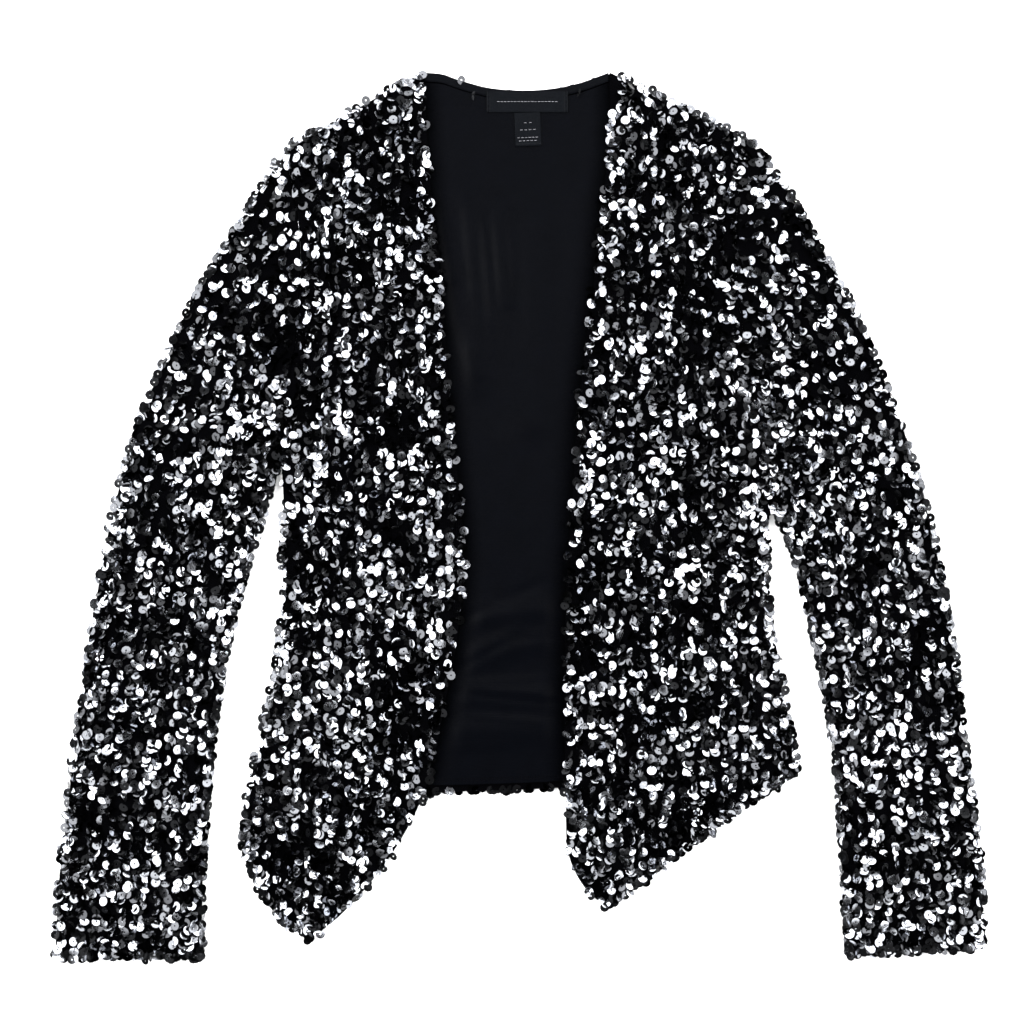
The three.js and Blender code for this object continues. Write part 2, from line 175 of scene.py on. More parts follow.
def joined(*lines):
    return np.vstack([lines[0], *[line[1:] for line in lines[1:]]])


def lineLength(line):
    return np.linalg.norm(np.diff(line, axis=0), axis=1).sum()


# points of a line at shares of its length
def along(line, share):
    reach = np.r_[0, np.cumsum(np.linalg.norm(np.diff(line, axis=0), axis=1))]
    at = np.asarray(share, float) * reach[-1]
    return np.stack([np.interp(at, reach, line[:, 0]), np.interp(at, reach, line[:, 1])], -1)


# the height of soft ridges; a tapered one fades towards both of its ends
def ridgeHeight(folds, x, y, tapered=False):
    height = np.zeros_like(x)
    for fromX, fromY, toX, toY, width, rise in folds:
        run = np.array([toX - fromX, toY - fromY], float)
        share = np.clip(((x - fromX) * run[0] + (y - fromY) * run[1]) / (run @ run), 0, 1)
        away = np.hypot(x - fromX - share * run[0], y - fromY - share * run[1])
        fade = np.sqrt(4 * share * (1 - share)) if tapered else 1
        height += rise * fade * np.exp(-((away / width) ** 2))
    return height


armhole = {"right": smoothLine(armholeRight), "left": smoothLine(armholeLeft)}
side = {"right": smoothLine(sideRight), "left": smoothLine(sideLeft)}
opening = {"right": smoothLine(openingRight), "left": smoothLine(openingLeft)}
neck = smoothLine(neckline)
bodyLine = {key: joined(armhole[key], side[key]) for key in armhole}
hemBow = {"right": 11, "back": 7, "left": 0}


# the back's top edge climbs to the neck at both shoulders and dips along the neckline
def backBend(across, down):
    tipRight, tipLeft = armhole["right"][0], armhole["left"][0]
    neckRight, neckLeft = ((neck[i, 0] - tipRight[0]) / (tipLeft[0] - tipRight[0]) for i in (0, -1))
    dip = along(neck, np.clip((across - neckRight) / (neckLeft - neckRight), 0, 1))
    x = np.interp(across, [0, neckRight, neckLeft, 1], [tipRight[0], *neck[[0, -1], 0], tipLeft[0]])
    y = np.interp(across, [0, neckRight, neckLeft, 1], [tipRight[1], *neck[[0, -1], 1], tipLeft[1]])
    inNeck = (across > neckRight) & (across < neckLeft)
    top = np.stack([np.where(inNeck, dip[..., 0], x), np.where(inNeck, dip[..., 1], y)], -1)
    straight = tipRight + (tipLeft - tipRight) * across[..., None]
    hem = -hemBow["back"] * 4 * across * (1 - across) * down**4
    bend = (top - straight) * (1 - down)[..., None]
    bend[..., 1] += hem
    return bend


def backHemY(x):
    start, end = side["right"][-1], side["left"][-1]
    across = np.clip((x - start[0]) / (end[0] - start[0]), 0, 1)
    return start[1] + (end[1] - start[1]) * across - hemBow["back"] * 4 * across * (1 - across)


# plan of a panel between two lines, with its distances from all four edges
def panelPlan(left, right, rows, columns, bend):
    down, across = np.meshgrid(rows, columns, indexing="ij")
    start, end = along(left, down), along(right, down)
    width = np.linalg.norm(end - start, axis=-1)
    length = (lineLength(left) + lineLength(right)) / 2
    point = start + (end - start) * across[..., None] + bend(across, down)
    return {
        "x": point[..., 0],
        "y": point[..., 1],
        "fromLeft": across * width,
        "fromRight": (1 - across) * width,
        "fromTop": down * length,
        "fromBottom": (1 - down) * length,
    }


def makeObject(name, vertices, faces, smooth=True):
    mesh = bpy.data.meshes.new(name)
    mesh.from_pydata(np.asarray(vertices, float) * mm, [], faces)
    if smooth:
        mesh.shade_smooth()
    mesh.update()
    piece = bpy.data.objects.new(name, mesh)
    bpy.context.scene.collection.objects.link(piece)
    return piece


# a UV map in metres of cloth, from one pair of values for each vertex
def addClothMap(piece, across, down):
    layer = piece.data.uv_layers.new(name="cloth")
    corner = np.zeros(len(piece.data.loops), np.int32)
    piece.data.loops.foreach_get("vertex_index", corner)
    pairs = np.stack([np.asarray(across, float), np.asarray(down, float)], -1) * mm
    layer.data.foreach_set("uv", pairs[corner].astype(np.float32).ravel())


def gridFaces(rows, columns, start=0, flip=False):
    r, c = np.meshgrid(np.arange(rows - 1), np.arange(columns - 1), indexing="ij")
    a = (start + r * columns + c).ravel()
    quad = np.stack([a, a + columns, a + columns + 1, a + 1], -1)
    return (quad[:, ::-1] if flip else quad).tolist()


# a closed wall of cloth over one plan
def clothSheet(name, plan, lower, upper):
    rows, columns = plan["x"].shape
    count = rows * columns
    top = np.stack([plan["x"], plan["y"], upper], -1).reshape(-1, 3)
    bottom = np.stack([plan["x"], plan["y"], lower], -1).reshape(-1, 3)
    faces = gridFaces(rows, columns) + gridFaces(rows, columns, count, flip=True)
    index = np.arange(count).reshape(rows, columns)
    rim = np.r_[index[0, :], index[1:, -1], index[-1, -2::-1], index[-2:0:-1, 0]]
    after = np.roll(rim, -1)
    faces += np.stack([rim, after, after + count, rim + count], -1).tolist()
    piece = makeObject(name, np.vstack([top, bottom]), faces)
    sharp = piece.data.attributes.new("sharp_edge", "BOOLEAN", "EDGE")
    onRim = np.zeros(2 * count, bool)
    onRim[rim] = onRim[rim + count] = True
    ends = np.array([edge.vertices[:] for edge in piece.data.edges])
    sharp.data.foreach_set("value", onRim[ends].all(axis=1))
    acrossCloth = (plan["fromLeft"] - plan["fromRight"]).ravel() / 2
    downCloth = plan["fromTop"].ravel()
    addClothMap(piece, np.tile(acrossCloth, 2), np.tile(downCloth, 2))
    return piece


# a front panel: it rolls down at its side and shoulder, and drops to the surface past the back's hem
def frontSheet(name, left, right, bend, sideIsLeft, armpitY):
    rows, columns = grids["front"]
    plan = panelPlan(left, right, equal(rows), equal(columns), bend)
    x, y = plan["x"], plan["y"]
    fromSide, fromOpening = plan["fromLeft"], plan["fromRight"]
    if not sideIsLeft:
        fromSide, fromOpening = fromOpening, fromSide
    roll = lay["edgeRoll"]
    sideRoll = (1 - ramp(fromSide, 0, roll)) * ramp(armpitY - y, 0, lay["armpitRoll"])
    shoulderRoll = 1 - ramp(plan["fromTop"], 0, roll)
    fold = ridgeHeight(shellFolds, x, y)
    drop = (lay["liningWall"] + lay["gap"]) * np.maximum(sideRoll, shoulderRoll)
    toFloor = ramp(backHemY(x) - y, lay["rampStart"], lay["rampEnd"])
    fromEdge = np.minimum(fromOpening, plan["fromBottom"])
    lifted = fold * ramp(fromEdge, 0, lay["foldFadeIn"])
    lower = (frontBase + fold - drop) * (1 - toFloor) + lifted * toFloor + lay["groundLift"]
    return clothSheet(name, plan, lower, lower + lay["groundWall"])


def straightDown(depth, direction):
    bow = np.array(direction, float) * depth * 4
    return lambda across, down: bow * (across * (1 - across) * down**4)[..., None]


rightHemBend = straightDown(hemBow["right"], (-0.8, -0.6))
leftHemBend = straightDown(hemBow["left"], (0, -1))
frontRightSide = joined(armhole["right"], side["right"], smoothLine(loweredSideRight))
frontRightCloth = frontSheet(
    "frontRightCloth", frontRightSide, opening["right"], rightHemBend, True, armhole["right"][-1, 1]
)
frontLeftCloth = frontSheet(
    "frontLeftCloth", opening["left"], bodyLine["left"], leftHemBend, False, armhole["left"][-1, 1]
)

backPlan = panelPlan(
    bodyLine["right"], bodyLine["left"], equal(grids["back"][0]), equal(grids["back"][1]), backBend
)
backFloor = np.full_like(backPlan["x"], lay["wall"] - lay["groundWall"] - lay["gap"])
backCloth = clothSheet("backCloth", backPlan, backFloor, backFloor + lay["groundWall"])
print("fronts and back laid")

# the strip along the back neck, in millimetres; its ends stop short by shares of the neckline
binding = {
    "width": 7.0, "start": 0.006, "span": 0.988, "edge": 0.6, "crown": 0.3, "roundness": 6,
    "ease": 0.08, "easeWaves": 130, "sway": 2.0, "swayWaves": 17,
}
# the back's lining, in millimetres: creased and puffed inside the opening, with painted shade beside the
# fronts
lining = {
    "width": 390.0,
    "inset": 7.0,
    "hemShow": 5.0,
    "bunching": 1.6,  # its points stand closer together in the middle
    "creaseClear": 4.0,
    "creaseFade": 8.0,
    "pucker": 0.12,
    "puckerWave": 3.1,
    "puckerFrom": 198.0,
    "puckerTo": 206.0,
    "sway": 1.3,
    "swayWave": 11.0,
    "puff": 1.1,
    "puffReach": 20.0,
    "puffTop": 284.0,
    "puffFade": 40.0,
    # painted shade beside the fronts: its least level, and where it starts and how far it reaches from
    # the opening's edge
    "shadeLeast": 0.25,
    "shadeFrom": -2.0,
    "shadeReach": 17.0,
}


def crossingX(line, y):
    order = np.argsort(line[:, 1])
    return np.interp(y, line[order, 1], line[order, 0])


def makeLining():
    length = (lineLength(bodyLine["right"]) + lineLength(bodyLine["left"])) / 2
    first = (binding["width"] + lay["gap"]) / length
    rows, columns = grids["lining"]
    down = first + (1 - lining["hemShow"] / length - first) * equal(rows)
    inset = lining["inset"] / lining["width"]
    fromMiddle = 2 * equal(columns) - 1
    across = 0.5 + np.sign(fromMiddle) * np.abs(fromMiddle) ** lining["bunching"] / 2
    across = inset + (1 - 2 * inset) * across
    plan = panelPlan(bodyLine["right"], bodyLine["left"], down, across, backBend)
    x, y = plan["x"], plan["y"]
    fromEdge = np.minimum(x - crossingX(opening["right"], y), crossingX(opening["left"], y) - x)
    seen = ramp(fromEdge, lining["creaseClear"], lining["creaseClear"] + lay["foldFadeIn"])
    crease = ridgeHeight(liningCreases, x, y, tapered=True) * ramp(fromEdge, 0, lining["creaseFade"])
    sway = lining["sway"] * np.sin(x / lining["swayWave"])
    pucker = lining["pucker"] * np.sin(x / lining["puckerWave"] + sway)
    pucker = pucker * ramp(-y, lining["puckerFrom"], lining["puckerTo"])
    puff = lining["puff"] * ramp(fromEdge, 0, lining["puffReach"])
    puff = puff * ramp(lining["puffTop"] - y, 0, lining["puffFade"])
    lower = liningBase + ridgeHeight(liningFolds, x, y) * seen + crease + pucker * seen + puff
    piece = clothSheet("liningCloth", plan, lower, lower + lay["liningWall"])
    # painted shade: this level dims the lining's colour and gloss, least at the fronts' edges
    lit = ramp(fromEdge, lining["shadeFrom"], lining["shadeReach"])
    clear = lining["shadeLeast"] + (1 - lining["shadeLeast"]) * lit
    attribute = piece.data.attributes.new("clear", "FLOAT", "POINT")
    attribute.data.foreach_set("value", np.tile(clear.ravel(), 2))
    return piece


liningCloth = makeLining()


def makeBinding():
    rows, columns = grids["binding"]
    down, across = np.meshgrid(equal(rows), equal(columns), indexing="ij")
    point = along(neck, binding["start"] + binding["span"] * across)
    width = binding["width"] - lay["gap"]
    length = lineLength(neck)
    plan = {
        "x": point[..., 0],
        "y": point[..., 1] - width * down,
        "fromLeft": across * length,
        "fromRight": (1 - across) * length,
        "fromTop": down * width,
    }
    rounding = 1 - np.abs(2 * down - 1) ** binding["roundness"]
    sway = binding["sway"] * np.sin(across * binding["swayWaves"])
    ease = binding["ease"] * np.sin(across * binding["easeWaves"] + sway) * (1 - down)
    lower = np.full_like(down, liningBase)
    return clothSheet(
        "neckBinding", plan, lower, lower + binding["edge"] + (binding["crown"] + ease) * rounding
    )


neckBinding = makeBinding()
print("lining and neck binding laid")

# the tapes at the neck, in millimetres; stitchIn and stitchClear place the label's end stitches, and
# each woven rule has how far it lies below the top and half its length
label = {
    "width": 63, "height": 16, "x": 6, "top": 330, "thick": 0.55, "fold": 2.2, "grid": (24, 90),
    "stitchIn": 1.3, "stitchClear": 0.8, "rules": [(8, 22.5)],
}
tab = {
    "width": 20, "height": 26, "x": 6.5, "top": 313.6, "thick": 0.5, "fold": 1.6, "grid": (40, 34),
    "tilt": 0.04, "rules": [(8, 2), (13.5, 5), (19.5, 7), (22, 6)],
}
# how a tape rises where it is folded under, rounds off at its rim and bows off the lining
tapeForm = {
    "foldRise": 0.3, "foldEase": 0.5, "rimDrop": 0.25, "rimReach": 0.7,
    "bow": 0.35, "bowTop": 0.4, "ripple": 0.12, "rippleAcross": 9, "rippleDown": 3,
}


# a strip of woven tape, its ends or its foot folded under, lying a little proud of the lining
def makeTape(name, spec, endsFolded):
    rows, columns = spec["grid"]
    down, across = np.meshgrid(equal(rows), equal(columns), indexing="ij")
    x = (across - 0.5) * spec["width"]
    y = -down * spec["height"]
    tilt = spec.get("tilt", 0)
    middleY = -spec["height"] / 2
    plan = {
        "x": spec["x"] + x * math.cos(tilt) - (y - middleY) * math.sin(tilt),
        "y": spec["top"] + middleY + x * math.sin(tilt) + (y - middleY) * math.cos(tilt),
        "fromLeft": across * spec["width"],
        "fromRight": (1 - across) * spec["width"],
        "fromTop": down * spec["height"],
    }
    fromFold = np.minimum(plan["fromLeft"], plan["fromRight"]) if endsFolded else spec["height"] + y
    pastFold = ramp(fromFold, spec["fold"], spec["fold"] + tapeForm["foldEase"])
    folded = tapeForm["foldRise"] * (1 - pastFold)
    rimmed = tapeForm["rimDrop"] * (1 - ramp(fromFold, 0, tapeForm["rimReach"]))
    bowDown = tapeForm["bowTop"] + (1 - tapeForm["bowTop"]) * down
    ripple = np.sin(across * tapeForm["rippleAcross"] + down * tapeForm["rippleDown"])
    bow = tapeForm["bow"] * np.sin(math.pi * across) * bowDown + tapeForm["ripple"] * ripple
    lower = np.full_like(down, frontBase) + np.maximum(bow, 0)
    return clothSheet(name, plan, lower, lower + spec["thick"] + folded - rimmed)


labelTape = makeTape("labelTape", label, endsFolded=True)
tabTape = makeTape("tabTape", tab, endsFolded=False)

# the sleeves, in millimetres, with their points along and around
sleeve = {"length": 640, "inset": 1.2, "rings": 110, "around": 64}


# a sleeve's plan at shares across, from its outer folded edge to its inner one, and along
def sleevePlan(outer, inner, armholeLine, outwards):
    ends = [np.array(outer[0], float), np.array(inner[0], float)]
    outerLine, innerLine = smoothLine(outer), smoothLine(inner)
    stations = np.linspace(0, 1, len(outerLine))

    def at(across, down):
        start = np.stack([np.interp(down, stations, outerLine[:, i]) for i in (0, 1)], -1)
        end = np.stack([np.interp(down, stations, innerLine[:, i]) for i in (0, 1)], -1)
        straight = ends[0] + (ends[1] - ends[0]) * across[..., None]
        bow = (along(armholeLine, across) - straight) * ((1 - down) ** 2)[..., None]
        point = start + (end - start) * across[..., None] + bow
        point[..., 0] += outwards * lay["seam"]
        return point

    return at


# a flattened tube of cloth, a little inside the solid's outer face
def sleeveTube(name, planAt, mirror):
    rings, around, inset = sleeve["rings"], sleeve["around"], sleeve["inset"]
    half = sleeveDepth / 2
    turn = np.linspace(0, 2 * math.pi, around, endpoint=False)
    down, angle = np.meshgrid(equal(rings), turn, indexing="ij")
    edgeOuter = planAt(np.zeros_like(down), down)
    edgeInner = planAt(np.ones_like(down), down)
    width = np.linalg.norm(edgeInner - edgeOuter, axis=-1)
    # which side a point is on, with the points on the outer fold above
    upperSide = np.sign(np.sin(angle) + 1e-9)

    def skin(depth):
        across = (1 - np.cos(angle)) / 2
        share = depth / width + (1 - 2 * depth / width) * across
        point = planAt(share, down)
        fromEdge = np.minimum(share, 1 - share) * width - depth
        deep = half - depth
        short = np.clip((deep - fromEdge) / deep, 0, 1)
        thick = deep * np.sqrt(1 - short**2)
        fold = ridgeHeight(shellFolds, point[..., 0], point[..., 1])
        fold = fold * ramp(fromEdge, 0, lay["foldFadeIn"]) * (upperSide > 0)
        z = half + upperSide * thick + fold
        return np.stack([point[..., 0], point[..., 1], z], -1).reshape(-1, 3)

    outer, inner = skin(inset), skin(inset + lay["groundWall"])
    count = rings * around
    r, c = np.meshgrid(np.arange(rings - 1), np.arange(around), indexing="ij")
    a = (r * around + c).ravel()
    b = (r * around + (c + 1) % around).ravel()
    wall = np.stack([a, a + around, b + around, b], -1)
    ring = np.arange(around)
    after = (ring + 1) % around
    last = (rings - 1) * around
    faces = np.vstack([
        wall,
        wall[:, ::-1] + count,
        np.stack([ring, after, after + count, ring + count], -1),
        np.stack([last + after, last + ring, last + ring + count, last + after + count], -1),
    ])
    if mirror:
        faces = faces[:, ::-1]
    piece = makeObject(name, np.vstack([outer, inner]), faces.tolist())
    acrossCloth = (np.where(upperSide > 0, 1, -1) * (1 - np.cos(angle)) * width / 2).ravel()
    downCloth = (down * sleeve["length"]).ravel()
    addClothMap(piece, np.tile(acrossCloth, 2), np.tile(downCloth, 2))
    return piece


planRight = sleevePlan(sleeveRightOuter, sleeveRightInner, armhole["right"], -1)
planLeft = sleevePlan(sleeveLeftOuter, sleeveLeftInner, armhole["left"], 1)
sleeveRightCloth = sleeveTube("sleeveRightCloth", planRight, mirror=False)
sleeveLeftCloth = sleeveTube("sleeveLeftCloth", planLeft, mirror=True)
print("sleeves laid")


# a round sequin with a hole, in millimetres: crowned, and strung at a point that lies off its middle
# by the pivot; the shoulder and the hole's height are shares of the radius and the crown
sequin = {
    "radius": 3.65, "hole": 0.72, "crown": 0.06, "pivot": 2.2, "sides": 10,
    "shoulder": 0.68, "holeHeight": 0.8, "pressedSides": 8, "pressedCrown": 0.3,
}
# a stitch: along its length, how fat it is and how high it stands
stitch = {
    "length": 2.2, "thick": 0.22, "sides": 6,
    "stations": [(-0.5, 0.35, -0.1), (-0.3, 0.9, 0.12), (0.3, 0.9, 0.12), (0.5, 0.35, -0.1)],
}


def ringPoints(radius, sides, z, turned=0.0):
    angle = np.arange(sides) * 2 * math.pi / sides + turned
    return np.stack([radius * np.cos(angle), radius * np.sin(angle), np.full(sides, z)], -1)


# triangles between an outer ring and an inner one with half as many points
def halvedRing(outer, inner, sides):
    faces = []
    for i in range(sides // 2):
        a, b, c = (outer + (2 * i + k) % sides for k in (0, 1, 2))
        p, q = inner + i, inner + (i + 1) % (sides // 2)
        faces += [(a, b, p), (b, c, q), (b, q, p)]
    return faces


def makeSequin():
    sides, crown = sequin["sides"], sequin["crown"]
    rim = ringPoints(sequin["radius"], sides, 0)
    shoulder = ringPoints(sequin["radius"] * sequin["shoulder"], sides, crown)
    hole = ringPoints(sequin["hole"], sides // 2, crown * sequin["holeHeight"], math.pi / sides)
    vertices = np.vstack([rim, shoulder, hole]) + [0, sequin["pivot"], 0]
    faces = [(i, (i + 1) % sides, sides + (i + 1) % sides, sides + i) for i in range(sides)]
    faces += halvedRing(sides, 2 * sides, sides)
    faces += [face[::-1] for face in halvedRing(0, 2 * sides, sides)]
    piece = makeObject("sequinShape", vertices, faces)
    sharp = piece.data.attributes.new("sharp_edge", "BOOLEAN", "EDGE")
    onRim = [all(v < sides or v >= 2 * sides for v in edge.vertices) for edge in piece.data.edges]
    sharp.data.foreach_set("value", onRim)
    return piece


def makePressedSequin():
    sides = sequin["pressedSides"]
    vertices = np.vstack([ringPoints(sequin["radius"], sides, 0), [(0, 0, sequin["pressedCrown"])]])
    vertices = vertices + [0, sequin["pivot"], 0]
    faces = [(i, (i + 1) % sides, sides) for i in range(sides)] + [tuple(range(sides))[::-1]]
    return makeObject("pressedSequinShape", vertices, faces, smooth=False)


def makeStitch():
    sides, stations = stitch["sides"], stitch["stations"]
    vertices = []
    for share, fat, rise in stations:
        ring = ringPoints(stitch["thick"] * fat, sides, 0)
        vertices += [(p[0], share * stitch["length"], p[1] + rise) for p in ring]
    last = (len(stations) - 1) * sides
    faces = [tuple(range(sides)), tuple(range(last, last + sides))[::-1]]
    for s in range(len(stations) - 1):
        for i in range(sides):
            j = (i + 1) % sides
            faces.append((s * sides + i, (s + 1) * sides + i, (s + 1) * sides + j, s * sides + j))
    return makeObject("stitchShape", vertices, faces)


# adds a node to a tree; an input is given a value, or a link where it is another node's socket
def addNode(tree, kind, inputs=None, **settings):
    node = tree.nodes.new(kind)
    for key, value in settings.items():
        setattr(node, key, value)
    for key, value in (inputs or {}).items():
        if isinstance(value, bpy.types.NodeSocket):
            tree.links.new(value, node.inputs[key])
        else:
            node.inputs[key].default_value = value
    return node


# the strings' random draws are told apart by these numbers, which are added to the seed
draws = {
    "missing": 1, "flip": 2, "pitch": 3, "roll": 4, "turn": 5, "size": 6, "tone": 7, "scatter": 8,
    "lean": 9,
}
# how far a row drops, in metres, and the noise that makes the shapes lean more in some patches
dropReach = 0.2
patches = {"scale": 25.0, "detail": 2.0}


# Geometry Nodes: strings small shapes along rows that are dropped onto a cloth
def stringTree():
    tree = bpy.data.node_groups.new("stringAlongRows", "GeometryNodeTree")
    sockets = [
        ("Rows", "Geometry"), ("Cloth", "Object"), ("Shape", "Object"), ("Spacing", "Float"),
        ("Ray", "Vector"), ("Lift", "Float"), ("Pitch Spread", "Float"), ("Roll Spread", "Float"),
        ("Turn Spread", "Float"), ("Size Spread", "Float"), ("Flip Share", "Float"),
        ("Missing", "Float"), ("Scatter", "Float"), ("Drift", "Float"), ("Seed", "Int"),
        ("Material", "Material"),
    ]
    for socketName, kind in sockets:
        tree.interface.new_socket(socketName, in_out="INPUT", socket_type=f"NodeSocket{kind}")
    tree.interface.new_socket("Strung", in_out="OUTPUT", socket_type="NodeSocketGeometry")
    given = tree.nodes.new("NodeGroupInput").outputs

    def worked(operation, a, b):
        return addNode(tree, "ShaderNodeMath", {0: a, 1: b}, operation=operation).outputs[0]

    def seeded(draw):
        return worked("ADD", given["Seed"], draws[draw])

    # a random number has its bounds in sockets 2 and 3, and its result in 1
    def randomFloat(low, high, draw):
        drawn = addNode(tree, "FunctionNodeRandomValue", {2: low, 3: high, "Seed": seeded(draw)})
        return drawn.outputs[1]

    def named(name, kind="FLOAT"):
        return addNode(tree, "GeometryNodeInputNamedAttribute", {"Name": name}, data_type=kind).outputs[0]

    def spread(amount, draw):
        share = worked("MULTIPLY", amount, named("stray"))
        return worked("MULTIPLY", randomFloat(-1.0, 1.0, draw), share)

    def scaled(vector, factor):
        return addNode(
            tree, "ShaderNodeVectorMath", {0: vector, "Scale": factor}, operation="SCALE"
        ).outputs[0]

    def stored(geometry, name, value, kind="FLOAT", domain="POINT"):
        return addNode(
            tree, "GeometryNodeStoreNamedAttribute", {"Geometry": geometry, "Name": name, "Value": value},
            data_type=kind, domain=domain,
        ).outputs[0]

    def rotation(**angles):
        turns = addNode(tree, "ShaderNodeCombineXYZ", angles).outputs[0]
        return addNode(tree, "FunctionNodeEulerToRotation", {0: turns}).outputs[0]

    def rotated(start, further):
        return addNode(
            tree, "FunctionNodeRotateRotation", {0: start, 1: further}, rotation_space="LOCAL"
        ).outputs[0]

    # points along the rows, scattered a little and dropped onto the cloth
    line = addNode(tree, "GeometryNodeMeshToCurve", {"Mesh": given["Rows"]}).outputs[0]
    step = worked("MULTIPLY", given["Spacing"], named("loose"))
    beads = addNode(
        tree, "GeometryNodeResampleCurve", {"Curve": line, "Length": step}, mode="LENGTH"
    ).outputs[0]
    cloth = addNode(tree, "GeometryNodeObjectInfo", {"Object": given["Cloth"]}).outputs["Geometry"]
    aside = addNode(
        tree, "FunctionNodeRandomValue",
        {0: (-1.0, -1.0, 0.0), 1: (1.0, 1.0, 0.0), "Seed": seeded("scatter")}, data_type="FLOAT_VECTOR",
    ).outputs[0]
    aside = scaled(aside, given["Scatter"])
    beads = addNode(tree, "GeometryNodeSetPosition", {"Geometry": beads, "Offset": aside}).outputs[0]
    place = addNode(tree, "GeometryNodeInputPosition").outputs[0]
    ray = {"Source Position": place, "Ray Direction": given["Ray"], "Ray Length": dropReach}
    drop = addNode(tree, "GeometryNodeRaycast", {"Target Geometry": cloth, **ray}).outputs
    present = worked("GREATER_THAN", randomFloat(0.0, 1.0, "missing"), given["Missing"])
    beads = stored(beads, "onCloth", worked("MULTIPLY", drop["Is Hit"], present))
    beads = stored(beads, "clothUp", drop["Hit Normal"], "FLOAT_VECTOR")
    height = addNode(tree, "ShaderNodeSeparateXYZ", {0: drop["Hit Position"]}).outputs[2]
    beads = stored(beads, "rest", height)
    raised = scaled(drop["Hit Normal"], given["Lift"])
    landed = addNode(
        tree, "ShaderNodeVectorMath", {0: drop["Hit Position"], 1: raised}, operation="ADD"
    ).outputs[0]
    beads = addNode(tree, "GeometryNodeSetPosition", {"Geometry": beads, "Position": landed}).outputs[0]
    beads = addNode(
        tree, "GeometryNodeDeleteGeometry",
        {"Geometry": beads, "Selection": worked("LESS_THAN", named("onCloth"), 0.5)}, domain="POINT",
    ).outputs[0]

    # how each shape is turned: some upside down, half leaning to each side, and more so in patches
    tangent = addNode(tree, "GeometryNodeInputTangent").outputs[0]
    lying = addNode(
        tree, "FunctionNodeAxesToRotation", {0: named("clothUp", "FLOAT_VECTOR"), 1: tangent},
        primary_axis="Z", secondary_axis="Y",
    ).outputs[0]
    upsideDown = worked("LESS_THAN", randomFloat(0.0, 1.0, "flip"), given["Flip Share"])
    flipped = worked("MULTIPLY", upsideDown, math.pi)
    pitch = worked("ADD", named("pitch"), spread(given["Pitch Spread"], "pitch"))
    toOneSide = worked("GREATER_THAN", randomFloat(0.0, 1.0, "lean"), 0.5)
    lean = worked("SUBTRACT", worked("MULTIPLY", toOneSide, 2.0), 1.0)
    where = addNode(tree, "GeometryNodeInputPosition").outputs[0]
    patch = addNode(
        tree, "ShaderNodeTexNoise",
        {"Vector": where, "Scale": patches["scale"], "Detail": patches["detail"]},
    ).outputs[0]
    patch = worked("MULTIPLY", worked("SUBTRACT", patch, 0.5), given["Drift"])
    lean = worked("MULTIPLY", lean, worked("ADD", 1.0, patch))
    leaning = worked("ADD", worked("MULTIPLY", lean, named("roll")), flipped)
    roll = worked("ADD", spread(given["Roll Spread"], "roll"), leaning)
    turn = worked("ADD", named("turn"), spread(given["Turn Spread"], "turn"))
    facing = rotated(rotated(lying, rotation(Z=turn)), rotation(X=pitch, Y=roll))
    size = worked("ADD", 1.0, spread(given["Size Spread"], "size"))

    shape = addNode(tree, "GeometryNodeObjectInfo", {"Object": given["Shape"]}).outputs["Geometry"]
    string = addNode(
        tree, "GeometryNodeInstanceOnPoints",
        {"Points": beads, "Instance": shape, "Rotation": facing, "Scale": size},
    ).outputs[0]
    string = stored(string, "tone", randomFloat(0.0, 1.0, "tone"), domain="INSTANCE")
    string = addNode(tree, "GeometryNodeRealizeInstances", {"Geometry": string}).outputs[0]
    string = addNode(
        tree, "GeometryNodeSetMaterial", {"Geometry": string, "Material": given["Material"]}
    ).outputs[0]
    tree.links.new(string, tree.nodes.new("NodeGroupOutput").inputs[0])
    return tree


# in millimetres: how far every shape clears the surface, how deep it may go into its cloth where
# that isn't seen from beneath, and how far above the back's hem it may still be seen
clearance = {"surface": 0.05, "anyDip": 100.0, "hem": 4.0}
# where the rows stand before they drop, over or under the garment
rowHeight = {"above": 60, "below": -30}
# what the tree writes on its points for its own use, taken off the finished meshes
usedUp = ("onCloth", "clothUp", "rest", "pitch", "roll", "turn", "stray", "loose")
stringing = stringTree()
smoothSequin = makeSequin()
pressedSequin = makePressedSequin()
stitchShape = makeStitch()


# a row of points in millimetres, with its shapes' angles in degrees, its share of the piece's random
# spreads, and how many times the piece's spacing it has
def makeRow(points, pitch=0, roll=0, turn=0, stray=1, loose=1):
    angles = {"pitch": pitch * degree, "roll": roll * degree, "turn": turn * degree}
    return {"points": points, "values": {**angles, "stray": stray, "loose": loose}}


# lifts each small shape that would dip below the surface; past the back's hem a cloth is seen from
# beneath, so there a shape may go only so deep into it
def raiseShapes(mesh, pointsEach, dip):
    flat = np.zeros(3 * len(mesh.vertices))
    mesh.vertices.foreach_get("co", flat)
    points = flat.reshape(-1, pointsEach, 3)
    rest = np.zeros(len(mesh.vertices))
    mesh.attributes["rest"].data.foreach_get("value", rest)
    middle = points.mean(axis=1)
    pastHem = middle[:, 1] < (backHemY(middle[:, 0] / mm) + clearance["hem"]) * mm
    deepest = rest.reshape(-1, pointsEach)[:, 0] - np.where(pastHem, dip, clearance["anyDip"]) * mm
    least = np.maximum(clearance["surface"] * mm, deepest)
    lift = np.clip(least - points[..., 2].min(axis=1), 0, None)
    points[..., 2] += lift[:, None]
    mesh.vertices.foreach_set("co", points.ravel())
    mesh.update()


